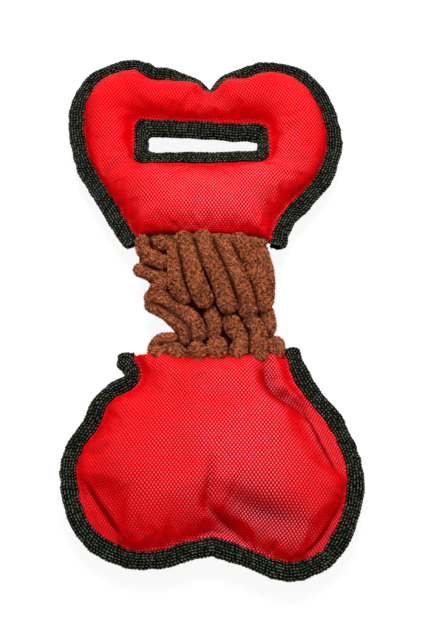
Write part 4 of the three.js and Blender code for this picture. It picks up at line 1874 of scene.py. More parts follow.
def build_edge_binding(pad: Pad, ground: Material, floats: Material) -> Piece:
    """The webbing round a pad's edge, from one neck corner to the other.

    Args:
        pad: The pad.
        ground: The webbing's dark ground.
        floats: Its floats.

    Returns:
        The piece.
    """
    drawn_in = np.array([3.4, 1.9, 1.0, 0.45, 0.15])
    extra = len(drawn_in)
    rim = pad.rim
    start_way = np.linspace(pad.outline.plus_overrun, 0.0, extra, endpoint=False)[:, None]
    end_way = np.linspace(0.0, pad.outline.minus_overrun, extra + 1)[1:, None]
    start, end = rim.edge[0] - rim.along[0] * start_way, rim.edge[-1] + rim.along[-1] * end_way
    edge = np.vstack([start, rim.edge, end])
    reach = np.pad(rim.inward, ((extra, extra), (0, 0)), mode="edge")
    depth, lift = np.pad(rim.depth, extra, mode="edge"), np.pad(rim.lift, extra, mode="edge")
    for ends, drawn in ((slice(None, extra), drawn_in), (slice(-extra, None), drawn_in[::-1])):
        edge[ends] += reach[ends] * drawn[:, None]
        depth[ends] -= drawn
    flat = pad.place(np.column_stack([edge, np.zeros(len(edge))]))
    piece = Folded(f"{pad.name}_edge_webbing", ground, floats).build(flat, reach * pad.turn, depth, lift)
    return seat(piece, pad.body, "dark_webbing", f"{pad.name}_edge_binding")


def build_slot_binding(pad: Pad, ground: Material, floats: Material) -> Piece:
    """The webbing round a pad's hand slot.

    Args:
        pad: The pad.
        ground: The webbing's dark ground.
        floats: Its floats.

    Returns:
        The piece.
    """
    rim = pad.slot.rim()
    flat = pad.place(np.column_stack([rim.edge, rim.lift]))
    folded = Folded(f"{pad.name}_slot_webbing", ground, floats, is_loop=True)
    piece = folded.build(flat, rim.inward, rim.depth, rim.lift)
    return seat(piece, pad.body, "dark_webbing", f"{pad.name}_slot_binding")


# Ribs of the plush's front, placed on the photograph. Each point of a route gives its place across in
# shares of the sleeve's half width, along from the handle's neck, its height, and the rib's thickness.
RIB_ROUTES = (
    (
        (-0.46, 0.19, 0.66, 0.68), (-0.43, 0.35, 0.72, 0.88), (-0.40, 0.50, 0.69, 0.98),
        (-0.33, 0.58, 0.59, 0.88),
    ),
    (
        (-0.33, 0.1, 0.66, 0.96), (-0.25, 0.26, 0.83, 1.02), (-0.19, 0.43, 0.83, 1.04),
        (-0.12, 0.54, 0.76, 1.08),
        (-0.05, 0.61, 0.66, 1.01),
    ),
    (
        (-0.07, 0.1, 0.69, 1.03), (-0.01, 0.24, 0.86, 1.05), (0.10, 0.39, 0.90, 1.04),
        (0.19, 0.52, 0.83, 1.04),
        (0.27, 0.66, 0.69, 1.04),
    ),
    (
        (0.16, 0.13, 0.69, 0.96), (0.25, 0.27, 0.86, 1.02), (0.37, 0.43, 0.86, 0.98),
        (0.48, 0.57, 0.76, 1.01),
        (0.54, 0.69, 0.59, 1.01),
    ),
    (
        (0.42, 0.12, 0.66, 1.02), (0.53, 0.26, 0.83, 1.12), (0.62, 0.38, 0.79, 1.04),
        (0.69, 0.51, 0.69, 1.0),
        (0.74, 0.63, 0.55, 0.94),
    ),
    (
        (0.61, 0.12, 0.55, 0.82), (0.72, 0.23, 0.57, 0.85), (0.79, 0.35, 0.53, 0.82),
        (0.81, 0.46, 0.47, 0.75),
        (0.8, 0.58, 0.41, 0.71),
    ),
    ((0.78, 0.67, 0.38, 0.81), (0.81, 0.76, 0.34, 0.84), (0.81, 0.80, 0.34, 0.81)),
    ((-0.91, 0.00, 0.10, 0.80), (-0.89, 0.09, 0.10, 0.80)),
    ((-0.63, 0.07, 0.34, 0.86), (-0.56, 0.09, 0.38, 0.83)),
    ((-0.77, 0.19, 0.28, 0.97), (-0.62, 0.24, 0.34, 0.86)),
    ((-0.93, 0.26, 0.10, 0.76), (-0.73, 0.32, 0.17, 0.72), (-0.60, 0.34, 0.21, 0.69)),
    ((-0.70, 0.46, 0.28, 0.77), (-0.60, 0.44, 0.38, 0.77), (-0.55, 0.41, 0.41, 0.68)),
    (
        (-0.76, 0.52, 0.24, 0.82), (-0.59, 0.56, 0.38, 0.81), (-0.38, 0.66, 0.45, 0.84),
        (-0.18, 0.77, 0.45, 0.91),
        (-0.13, 0.85, 0.34, 0.87),
    ),
    (
        (-0.76, 0.57, 0.14, 0.78), (-0.59, 0.64, 0.24, 0.78), (-0.41, 0.73, 0.31, 0.84),
        (-0.30, 0.81, 0.31, 0.91),
        (-0.30, 0.87, 0.24, 0.87),
    ),
    ((0.03, 0.67, 0.38, 0.91), (0.10, 0.77, 0.38, 0.94), (0.07, 0.84, 0.24, 0.88)),
    ((0.27, 0.70, 0.41, 0.91), (0.35, 0.82, 0.48, 0.97), (0.44, 0.91, 0.42, 0.94), (0.4, 1.0, 0.36, 0.98)),
    ((0.57, 0.76, 0.45, 0.91), (0.65, 0.83, 0.45, 0.97), (0.67, 0.94, 0.42, 0.96), (0.68, 1.02, 0.36, 0.96)),
    (
        (-0.49, 0.87, 0.24, 0.71), (-0.64, 0.88, 0.17, 0.77), (-0.72, 0.95, 0.07, 0.71),
        (-0.69, 0.98, 0.03, 0.64),
    ),
    ((-0.44, 0.96, 0.28, 0.74), (-0.59, 0.97, 0.21, 0.74), (-0.63, 0.99, 0.07, 0.64)),
    ((-0.66, 0.99, 0.26, 0.8), (-0.62, 1.0, 0.26, 0.8)),
    ((-0.41, 1.0, 0.36, 0.92), (-0.38, 1.02, 0.36, 0.9)),
    ((-0.14, 0.99, 0.38, 1.0), (-0.13, 1.02, 0.38, 0.96)),
    ((0.12, 0.96, 0.41, 1.1), (0.13, 1.0, 0.4, 1.06)),
    ((0.9, 0.925, 0.24, 1.02), (0.9, 0.96, 0.24, 1.0)),
)


@dataclass
class Sleeve:
    """The gathered plush round the middle: ribs bunched over a core with a bore for the strap."""

    pile: Material
    tufts: Material
    rib_radius: float = 5.5
    rib_step: float = 1.5
    rib_sides: int = 16
    rib_end_shares: tuple = (0.35, 0.62, 0.82, 0.95)
    cell: float = 0.9
    smoothing: int = 2
    tuck: float = 6.0
    back_depth: float = 13.0
    back_count: int = 10
    back_lengths: tuple = ((0.0, 0.46), (0.5, 0.98))
    back_seed: int = 23
    core_points: int = 72
    core_step: float = 1.6
    bore_half: tuple[float, float] = (17.2, 3.7)
    bore_power: float = 0.35
    neck_half: tuple[float, float] = (41.0, 8.7)
    plus_side: tuple = ((0, 0.8), (0.12, 0.86), (0.35, 0.87), (0.7, 0.86), (0.86, 0.9), (1, 0.84))
    minus_side: tuple = (
        (0, 0.84), (0.12, 0.94), (0.22, 0.93), (0.3, 0.8), (0.42, 0.72), (0.55, 0.74), (0.66, 0.52),
        (0.76, 0.4), (0.84, 0.56), (0.92, 0.7), (1, 0.82),
    )
    tuft_length: float = 1.25
    tuft_radius: float = 0.3
    tuft_lean: float = 0.6
    tufts_per_square_mm: float = 3.0
    bare_bore_half: tuple[float, float] = (18.5, 5.0)
    bare_neck: tuple[float, float] = (1.0, 6.0)

    def __post_init__(self) -> None:
        """Turns the front ribs' shares into places, and adds the ribs of the sides and the back."""
        self.ribs = [self.placed(np.array(route)) for route in RIB_ROUTES]
        self.ribs += self.back_ribs()

    def placed(self, route: np.ndarray) -> np.ndarray:
        """A rib's route in millimetres: across, along, height over the seam, radius.

        Args:
            route: The route in shares.

        Returns:
            The rib's points, one a row.
        """
        knots = route * np.array([SLEEVE_HALF_WIDTH, MIDDLE_LENGTH, SLEEVE_HEIGHT, self.rib_radius])
        if len(knots) < 3:
            knots = np.vstack([knots[0], knots.mean(axis=0), knots[-1]])
        length = lengths_of(np.diff(knots[:, :3], axis=0)).sum()
        return self.rounded(flowing_curve(knots, max(6, int(length / self.rib_step)), dense=24))

    def rounded(self, line: np.ndarray) -> np.ndarray:
        """Adds points past a rib's ends, where its radius shrinks to a round end.

        Args:
            line: The rib's points.

        Returns:
            The points with those of the ends.
        """
        starts, ends = [], []
        for share in self.rib_end_shares:
            for at, before, kept in ((line[0], line[1], starts), (line[-1], line[-2], ends)):
                ahead = at[:3] - before[:3]
                way = ahead / np.linalg.norm(ahead)
                place = at[:3] + way * at[3] * share
                kept.append(np.append(place, at[3] * math.sqrt(1 - share**2)))
        return np.vstack([starts[::-1], line, ends])

    def sides(self, at: np.ndarray) -> list[np.ndarray]:
        """The sleeve's half widths on both sides at shares of its length."""
        inside, both = np.clip(at, 0, 1), (self.plus_side, self.minus_side)
        return [np.interp(inside, *np.array(side).T) * SLEEVE_HALF_WIDTH for side in both]

    def back_ribs(self) -> list[np.ndarray]:
        """Ribs that run along the sides and the back, in two gathered lengths.

        Returns:
            Each rib's points.
        """
        stations, end_share, swell_power = 9, 0.06, 0.5
        most_shift, most_drift, drift_length = 0.02, 2.0, 0.3
        side_room, least_thick, more_thick = 2.5, 0.86, 0.12
        inset, least_deep, raised, floor_gap = 3.2, 0.72, 0.6, 1.6
        ribs = []
        random = np.random.default_rng(self.back_seed)
        swell = np.sin(math.pi * np.linspace(end_share, 1 - end_share, stations)) ** swell_power
        radius = self.rib_radius * (least_thick + more_thick * swell)
        for share in np.linspace(-1.0, 1.0, self.back_count):
            for start, end in self.back_lengths:
                along = np.linspace(start, end, stations) + random.uniform(-most_shift, most_shift)
                plus, minus = self.sides(along)
                reach = np.where(share > 0, plus, minus) - self.rib_radius
                drift = random.uniform(-most_drift, most_drift) * (along - along.mean()) / drift_length
                x = np.clip(share * reach + drift, -reach, reach)
                round_down = np.sqrt(np.clip(1 - (x / (reach + side_room)) ** 2, 0, 1))
                deep = least_deep + (1 - least_deep) * swell
                z = -(self.back_depth - inset) * round_down * deep + raised
                z = np.maximum(z, -SEAM_Z / MM + radius + floor_gap)
                ribs.append(self.rounded(np.column_stack([x, along * MIDDLE_LENGTH, z, radius])))
        return ribs

    def core_ring(self, along: float, samples: np.ndarray) -> np.ndarray:
        """One ring of the core, with the wall of its bore.

        Args:
            along: Its place along the sleeve, in millimetres from the handle's neck.
            samples: Every rib's points, which the core follows a little below.

        Returns:
            The outer points and then the bore's, as across and height.
        """
        inside_ribs, arch_power = 3.5, 0.5
        near_along, near_across = 7.0, 6.0
        base_weight, base_up, base_down = 0.15, 4.0, 8.0
        least_up, least_down = 4.5, 5.0
        neck_start, neck_end = -1.5, 4.0
        turn = np.linspace(0.0, 2 * math.pi, self.core_points, endpoint=False)
        cosine, sine = np.cos(turn), np.sin(turn)
        plus, minus = (float(side) - inside_ribs for side in self.sides(np.array(along / MIDDLE_LENGTH)))
        x = np.where(cosine > 0, plus, minus) * cosine
        off_along = (samples[:, 1][None] - along) / near_along
        off_across = (samples[:, 0][None] - x[:, None]) / near_across
        near = np.exp(-(off_along**2 + off_across**2))
        front = samples[:, 2] > 0.0
        up_weight, down_weight = near * front, near * ~front
        up = up_weight @ (samples[:, 2] - 0.5 * samples[:, 3]) + base_weight * base_up
        up = up / (up_weight.sum(axis=1) + base_weight)
        down = down_weight @ samples[:, 2] - base_weight * base_down
        down = down / (down_weight.sum(axis=1) + base_weight)
        arch = np.abs(sine) ** arch_power
        z = np.where(sine >= 0, np.maximum(up, least_up) * arch, np.minimum(down, -least_down) * arch)
        place = np.array(along)
        into_neck = smooth_step(neck_start, neck_end, place)
        into_neck = into_neck * smooth_step(MIDDLE_LENGTH - neck_start, MIDDLE_LENGTH - neck_end, place)
        neck = np.column_stack([self.neck_half[0] * cosine, self.neck_half[1] * sine])
        outer = neck + (np.column_stack([x, z]) - neck) * into_neck
        bore = []
        for half, way in zip(self.bore_half, (cosine, sine)):
            bore.append(half * np.sign(way) * np.abs(way) ** self.bore_power)
        return np.vstack([outer, np.column_stack(bore)])

    def place(self, points: np.ndarray) -> np.ndarray:
        """Moves rows of across, along and height to the frame's metres."""
        return np.column_stack(
            [CENTRE_X + points[:, 0] * MM, HANDLE_NECK_Y - points[:, 1] * MM, SEAM_Z + points[:, 2] * MM]
        )

    def core(self) -> Piece:
        """The tube that the ribs lie on.

        Returns:
            The tube.
        """
        samples = np.vstack(self.ribs)
        steps = np.arange(-self.tuck, MIDDLE_LENGTH + self.tuck + 0.1, self.core_step)
        rings = np.array([self.core_ring(step, samples) for step in steps])
        half = self.core_points
        parts = np.concatenate([rings[:, :half], rings[::-1, half:]])
        points = []
        for ring, at in zip(parts, np.concatenate([steps, steps[::-1]])):
            points.append(np.column_stack([ring[:, 0], np.full(half, at), ring[:, 1]]))
        faces = ring_faces(len(parts), half, True)
        return make_piece("plush_core", self.place(np.vstack(points)), faces, self.pile)

    def rib_lines(self) -> Piece:
        """The ribs, swept along their middle lines by Geometry Nodes.

        Returns:
            The ribs.
        """
        points, edges, thickness = [], [], []
        for rib in self.ribs:
            first = len(thickness)
            edges += [(first + i, first + i + 1) for i in range(len(rib) - 1)]
            points.append(self.place(rib))
            thickness += list(rib[:, 3] * MM)
        mesh = bpy.data.meshes.new("plush_ribs")
        mesh.from_pydata(np.vstack(points).tolist(), edges, [])
        piece = put_in_scene("plush_ribs", mesh)
        store(piece, "thickness", np.array(thickness))
        values = {"Sides": self.rib_sides, "Fullness": 1.0, "Material": self.pile}
        return run_tree(piece, ribs_tree(), values)

    def build(self) -> None:
        """Makes the sleeve in three lengths, one for each way that the middle moves."""
        whole = join(self.core(), self.rib_lines())
        turn_out(whole)
        one_skin(whole, self.cell, self.smoothing)
        # The hollows shorten the tufts and set where the pile's painted shade goes
        store(whole, "hollow", hollows(whole))
        store(whole, "rest", points_of(whole))
        store(whole, "tone", np.full(len(whole.data.vertices), 0.5))
        pile = self.stand_tufts(whole)
        for number, (name, before, after) in enumerate(LENGTHS):
            start, end = MEETINGS[number : number + 2]
            low = start if number else -FAR_AWAY
            high = end if number + 1 < len(LENGTHS) else FAR_AWAY
            section = cut_length(whole, low, high, f"plush_sleeve_{name}")
            join(section, pick_length(pile, low, high, f"plush_tufts_{name}"))
            seat_between(section, before, after, start, end, "brown_plush", "plush_sleeve")
        for spare in (whole, pile):
            bpy.data.objects.remove(spare)

    def is_bare(self, middle: Vector) -> bool:
        """Tells whether a place on the skin lies in the bore or in a neck, where no pile shows.

        Args:
            middle: The place.

        Returns:
            Whether it does.
        """
        half_width, half_height = (half * MM for half in self.bare_bore_half)
        in_bore = abs(middle.z - SEAM_Z) < half_height and abs(middle.x) < half_width
        inside, height = (size * MM for size in self.bare_neck)
        past_neck = not BITE_NECK_Y + inside < middle.y < HANDLE_NECK_Y - inside
        return in_bore or past_neck and middle.z < SEAM_Z + height

    def stand_tufts(self, skin: Piece) -> Piece:
        """Stands the cut pile on the part of the skin that shows.

        Args:
            skin: The whole sleeve's skin.

        Returns:
            The tufts.
        """
        shown = put_in_scene(skin.name, skin.data.copy())
        with reshaped(shown) as shape:
            hidden = [face for face in shape.faces if self.is_bare(face.calc_center_median())]
            bmesh.ops.delete(shape, geom=hidden, context="FACES")
        sizes = {"Tuft Length": self.tuft_length * MM, "Tuft Radius": self.tuft_radius * MM}
        sizes.update({"Density": self.tufts_per_square_mm / MM**2, "Lean": self.tuft_lean})
        more = {"Seed": 7, "Material": self.tufts}
        return run_tree(shown, pile_tree(), {**sizes, **more})


def seat_between(
    piece: Piece, before: str, after: str, start: float, end: float, slot: str, *nodes: str
) -> None:
    """Bakes a piece's place into its points and hides the CAD nodes that it replaces; the two bodies are
    only logged.

    Args:
        piece: The piece.
        before: The body at its start, which is only logged.
        after: The body at its end, which is only logged.
        start: Not used.
        end: Not used.
        slot: Not used.
        nodes: The CAD nodes.
    """
    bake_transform(piece)
    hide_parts(*nodes)
    LOG.info("%s: %d faces, between %s and %s", piece.name, len(piece.data.polygons), before, after)


def averaged(values: np.ndarray, edges: np.ndarray, times: int) -> np.ndarray:
    """Evens values out over a mesh's edges.

    Args:
        values: Each point's values, one a row.
        edges: The mesh's edges.
        times: How many times the values are evened out.

    Returns:
        The evened values.
    """
    count = len(values)
    degree = np.bincount(edges.ravel(), minlength=count)[:, None]
    for _ in range(times):
        total = np.zeros_like(values)
        for column in range(values.shape[1]):
            total[:, column] = np.bincount(edges[:, 0], values[edges[:, 1], column], count)
            total[:, column] += np.bincount(edges[:, 1], values[edges[:, 0], column], count)
        values = (values + total / degree) / 2
    return values


def one_skin(piece: Piece, cell: float, smoothing: int) -> None:
    """Remakes a closed piece as one even, smoothed skin.

    Args:
        piece: The piece.
        cell: The skin's cell in millimetres.
        smoothing: How many times its points are evened out.
    """
    remesh = piece.modifiers.new("one_skin", "REMESH")
    remesh.mode = "VOXEL"
    remesh.voxel_size = cell * MM
    settle(piece)
    set_points(piece, averaged(points_of(piece), edges_of(piece), smoothing))
    piece.data.shade_smooth()


def hollows(piece: Piece) -> np.ndarray:
    """How deep each point lies in the hollows of its surface.

    Args:
        piece: The piece.

    Returns:
        The depths, from 0 on the crests to 1.
    """
    crest, deepest = -0.55 * MM, 0.8 * MM
    wide, narrow = 45, 2
    points, edges = points_of(piece), edges_of(piece)
    smoothed = averaged(points, edges, wide)
    depth = ((smoothed - points) * normals_of(piece)).sum(axis=1)[:, None]
    return smooth_step(crest, deepest, averaged(depth, edges, narrow)[:, 0])


def cut_length(whole: Piece, low: float, high: float, name: str) -> Piece:
    """Copies a closed mesh between two places along y, with its ends closed.

    Args:
        whole: The mesh.
        low: The lower place in metres.
        high: The higher place.
        name: The copy's name.

    Returns:
        The copy.
    """
    piece = put_in_scene(name, whole.data.copy())
    piece.data.name = name
    with reshaped(piece) as shape:
        for place, keeps_high in ((low, True), (high, False)):
            if abs(place) >= FAR_AWAY:
                continue
            done = bmesh.ops.bisect_plane(
                shape,
                geom=[*shape.verts, *shape.edges, *shape.faces],
                plane_co=(0, place, 0),
                plane_no=(0, 1, 0),
                clear_inner=keeps_high,
                clear_outer=not keeps_high,
            )
            cut = [item for item in done["geom_cut"] if isinstance(item, bmesh.types.BMEdge)]
            bmesh.ops.triangle_fill(shape, edges=[edge for edge in cut if edge.is_boundary], use_beauty=True)
        bmesh.ops.recalc_face_normals(shape, faces=shape.faces)
    return piece


def pick_length(tufts: Piece, low: float, high: float, name: str) -> Piece:
    """Copies the tufts whose roots lie between two places along y.

    Args:
        tufts: All the tufts.
        low: The lower place in metres.
        high: The higher place.
        name: The copy's name.

    Returns:
        The copy.
    """
    piece = put_in_scene(name, tufts.data.copy())
    along = rows_of(piece.data.attributes["rest"].data, "vector", 3)[:, 1]
    with reshaped(piece) as shape:
        outside = [vert for vert, y in zip(shape.verts, along) if not low <= y < high]
        bmesh.ops.delete(shape, geom=outside, context="VERTS")
    return piece


@dataclass
class Strap:
    """The elastic strap inside the sleeve, in three lengths as the sleeve is."""

    finish: Material
    rounding: float = 0.8
    corner_points: int = 4
    ring_step: float = 1.2
    least_rings: int = 8
    waviness: float = 0.25
    wave_length: float = 2.2
    wave_share: float = 0.3

    def build(self) -> None:
        """Makes the strap."""
        low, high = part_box("elastic_strap")
        places = (low.y, *MEETINGS[1:-1], high.y)
        for number, (name, before, after) in enumerate(LENGTHS):
            start, end = places[number : number + 2]
            ring_count = max(self.least_rings, int((end - start) / (self.ring_step * MM)))
            steps = np.linspace(start, end, ring_count)
            rings = [self.ring(step, (high - low) / 2) for step in steps]
            count = len(rings[0])
            last = (len(rings) - 1) * count
            faces = ring_faces(len(rings), count)
            faces += [tuple(range(count)), tuple(reversed(range(last, last + count)))]
            piece = make_piece(f"elastic_strap_{name}", np.vstack(rings), faces, self.finish)
            turn_out(piece)
            store(piece, "rest", points_of(piece))
            bend = MEETINGS[number : number + 2]
            seat_between(piece, before, after, *bend, "elastic_webbing", "elastic_strap")

    def ring(self, y: float, half: Vector) -> np.ndarray:
        """The strap's rounded outline at one place along it.

        Args:
            y: The place in metres.
            half: Half the strap's box.

        Returns:
            The outline's points.
        """
        corner = self.rounding * MM
        wave = self.waviness * MM * math.sin(y / (self.wave_length * MM))
        points = []
        for number, (sign_x, sign_z) in enumerate([(1, 1), (-1, 1), (-1, -1), (1, -1)]):
            for step in range(self.corner_points):
                angle = (number + step / (self.corner_points - 1)) * math.pi / 2
                x = sign_x * (half.x - corner) + corner * math.cos(angle)
                z = sign_z * (half.z - corner) + corner * math.sin(angle)
                points.append((CENTRE_X + x, y, SEAM_Z + z + self.wave_share * wave))
        return np.array(points)


@dataclass
class Filling:
    """Loose fibre in the shape of a CAD stuffing, tucked in under the panels round it."""

    node: str
    body: str
    finish: Material
    cell: float = 2.2
    smoothing: int = 2
    lump: float = 1.1
    lump_scale: float = 90.0
    sunk: float = 0.6
    clearance: float = 0.8

    def build(self, panels: list[Piece]) -> Piece:
        """Makes the filling.

        Args:
            panels: The panels that it must stay inside of.

        Returns:
            The piece.
        """
        piece = copy_of(self.node, f"{self.node}_fibre", self.finish)
        one_skin(piece, self.cell, self.smoothing)
        points = points_of(piece)
        lumps = np.array([noise.noise(Vector(point) * self.lump_scale) for point in points])
        points -= normals_of(piece) * (self.clearance + self.lump * (lumps[:, None] + self.sunk)) * MM
        trees = [BVHTree.FromObject(panel, bpy.context.evaluated_depsgraph_get()) for panel in panels]
        for number, point in enumerate(points):
            sign = 1.0 if point[2] > SEAM_Z else -1.0
            for tree in trees:
                hit = tree.ray_cast(Vector((point[0], point[1], SEAM_Z)), Vector((0, 0, sign)))
                if hit[0] is None:
                    continue
                room = max(hit[3] - self.clearance * MM, 0.0)
                points[number, 2] = SEAM_Z + sign * min(room, (point[2] - SEAM_Z) * sign)
        set_points(piece, points)
        return seat(piece, self.body, "polyester_fill", self.node)


def copy_of(node: str, name: str, finish: Material) -> Piece:
    """A new piece with a copy of a CAD node's mesh, and its own material.

    Args:
        node: The CAD node.
        name: The piece's name.
        finish: Its material.

    Returns:
        The piece.
    """
    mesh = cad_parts[node].data.copy()
    mesh.name = name
    mesh.materials.clear()
    mesh.materials.append(finish)
    return put_in_scene(name, mesh)


def build_anchor(node: str, body: str, finish: Material) -> Piece:
    """A strap's sewn end tab, with its edges worn round.

    Args:
        node: The CAD node that it stands for.
        body: What it rides on.
        finish: The webbing.

    Returns:
        The piece.
    """
    piece = copy_of(node, f"{node}_tab", finish)
    one_skin(piece, cell=0.7, smoothing=3)
    return seat(piece, body, "dark_webbing", node)


@dataclass(frozen=True)
class Studio:
    """A white floor, a soft light from the upper left, and the photograph's camera."""

    target: tuple = (1.8, -14.5, 20.0)
    elevation: float = math.radians(63.0)
    distance: float = 1003.0
    lens: float = 88.43
    sensor_width: float = 36.0
    farthest_seen: float = 20.0
    world_strength: float = 0.38
    light_power: float = 11.8
    light_size: float = 0.5
    light_place: tuple = (0.02, 0.4, 1.05)
    white: tuple = (1.0, 1.0, 1.0, 1.0)
    floor_colour: tuple = (0.95, 0.95, 0.95, 1.0)
    floor_roughness: float = 0.9
    floor_specular: float = 0.1
    floor_glow: float = 0.86
    glow_strength: float = 1.06
    floor_half: float = 3.0

    def build(self) -> None:
        """Makes the floor, the lights and the camera."""
        bpy.context.scene.view_settings.view_transform = "Standard"
        self.build_floor()
        self.build_lights()
        self.build_camera()

    def build_floor(self) -> None:
        """A white floor, a little brighter as the camera sees it than the light alone would make it."""
        corners = np.array([(x, y, 0) for x, y in ((-1, -1), (1, -1), (1, 1), (-1, 1))]) * self.floor_half
        material, w, shader = new_material("white_floor")
        gloss = {"Roughness": self.floor_roughness, "Specular IOR Level": self.floor_specular}
        w.plug_in(shader, {"Base Color": self.floor_colour, **gloss})
        glow = w.add("ShaderNodeEmission", {"Color": self.white, "Strength": self.glow_strength})
        seen = w.math("MULTIPLY", self.looked_at(w), self.floor_glow)
        shaders = {0: seen, 1: shader.outputs["BSDF"], 2: glow.outputs["Emission"]}
        both = w.add("ShaderNodeMixShader", shaders)
        w.plug_in(w.tree.nodes["Material Output"], {"Surface": both.outputs["Shader"]})
        floor = make_piece("floor", corners, [(0, 1, 2, 3)], material)

    def looked_at(self, w: Wiring) -> Socket:
        """Where the camera, a reflection or clear material looks at the backdrop.

        Args:
            w: The material's or the world's wiring.

        Returns:
            One where it is looked at, and nought for its light.
        """
        rays = w.add("ShaderNodeLightPath").outputs
        mirrored = w.math("MAXIMUM", rays["Is Glossy Ray"], rays["Is Transmission Ray"])
        return w.math("MAXIMUM", rays["Is Camera Ray"], mirrored)

    def build_lights(self) -> None:
        """An even white sky and one large soft light."""
        world = bpy.data.worlds.new("studio_sky")
        bpy.context.scene.world = world
        world.use_nodes = True
        w = Wiring(world.node_tree)
        strength = w.math("MULTIPLY_ADD", self.looked_at(w), 1.0 - self.world_strength, self.world_strength)
        w.plug_in(world.node_tree.nodes["Background"], {"Color": self.white, "Strength": strength})
        light = bpy.data.lights.new("soft_light", "AREA")
        light.shape = "DISK"
        light.size = self.light_size
        light.energy = self.light_power
        lamp = put_in_scene("soft_light", light)
        lamp.location = self.light_place
        lamp.rotation_euler = (-lamp.location).to_track_quat("-Z", "Y").to_euler()

    def build_camera(self) -> None:
        """The camera, which looks down at the photograph's angle."""
        data = bpy.data.cameras.new("photo_camera")
        data.lens = self.lens
        data.sensor_width = self.sensor_width
        data.clip_end = self.farthest_seen
        camera = put_in_scene("photo_camera", data)
        ahead = Vector((0.0, math.cos(self.elevation), -math.sin(self.elevation)))
        camera.location = (Vector(self.target) - ahead * self.distance) * MM
        camera.rotation_euler = (math.pi / 2 - self.elevation, 0.0, 0.0)
        bpy.context.scene.camera = camera


BITE_PAD = Pad(
    name="bite",
    body="bite_end",
    length=146.0,
    neck_y=BITE_NECK_Y,
    is_turned=True,
    outline=Outline(
        plus_side_shares=(
            (0.6, -0.015), (0.597, 0.03), (0.57, 0.058), (0.549, 0.082), (0.6, 0.103), (0.666, 0.127),
            (0.755, 0.194),
            (0.81, 0.285), (0.895, 0.38), (0.948, 0.48), (0.945, 0.58), (0.905, 0.7), (0.852, 0.782),
            (0.74, 0.87),
            (0.6, 0.925), (0.42, 0.955), (0.235, 0.943), (0.1, 0.912), (-0.027, 0.893),
        ),
        minus_side_shares=(
            (-0.618, -0.045), (-0.645, 0.02), (-0.69, 0.1), (-0.79, 0.194), (-0.885, 0.288), (-0.975, 0.427),
            (-1.005, 0.56), (-0.99, 0.65), (-0.952, 0.738), (-0.865, 0.868), (-0.765, 0.943),
            (-0.638, 0.987),
            (-0.513, 1.003), (-0.39, 0.988), (-0.265, 0.954), (-0.14, 0.92), (-0.027, 0.893),
        ),
        notch_depth=BINDING_DEPTH,
        plus_overrun=0.8,
        minus_overrun=2.0,
    ),
    hub=Hub(centre=(0.0, 76.0), half_length=31.0, half_width=7.0, corner=5.0),
    crown=20.5,
    back_crown=18.8,
    creases=(
        Crease((-0.38, 0.08), (-0.79, 0.51), 6.0, 8.0),
        Crease((0.72, 0.58), (0.5, 0.8), 2.5, 9.0),
        Crease((0.0, 0.66), (-0.18, 0.84), 2.0, 7.0),
    ),
    folds=(
        Fold(((0.76, 0.48), (0.64, 0.45)), 1.4, 3.0),
        Fold(((0.84, 0.54), (0.74, 0.51)), -1.2, 2.6),
        Fold(((-0.03, 0.52), (-0.02, 0.6), (0.0, 0.67), (0.015, 0.73)), 3.0, 2.6),
        Fold(((0.03, 0.69), (-0.03, 0.735), (-0.09, 0.757), (-0.16, 0.8), (-0.22, 0.85)), 4.4, 3.6),
        Fold(((0.09, 0.16), (0.01, 0.13)), 1.4, 3.0),
        Fold(((0.41, 0.84), (0.34, 0.92)), -1.6, 3.2),
        Fold(((0.26, 0.8), (0.24, 0.91)), 1.2, 3.0),
        Fold(
            ((-0.39, 0.04), (-0.38, 0.13), (-0.42, 0.19), (-0.5, 0.225), (-0.58, 0.25), (-0.65, 0.3)),
            7.5,
            5.0,
        ),
        Fold(((-0.46, 0.06), (-0.49, 0.15), (-0.56, 0.195), (-0.64, 0.235), (-0.7, 0.3)), -2.2, 3.0),
        Fold(((-0.12, 0.67), (-0.3, 0.73), (-0.48, 0.775), (-0.62, 0.79)), 7.0, 11.0),
        Fold(((-0.35, 0.95), (-0.42, 0.85)), 1.6, 3.0),
        Fold(((-0.5, 0.96), (-0.54, 0.86)), 1.2, 3.0),
        Fold(((-0.9, 0.66), (-0.7, 0.62)), -1.2, 4.0),
    ),
    strips=(Strip(0.44, 0.76, 10.5), Strip(0.97, 1.1, 4.5), Strip(1.24, 1.5, 5.0), Strip(1.55, 1.9, 11.0)),
    neck_dip=2.8,
    neck_opening=6.0,
    shine_centre=(-0.25, 0.6),
)
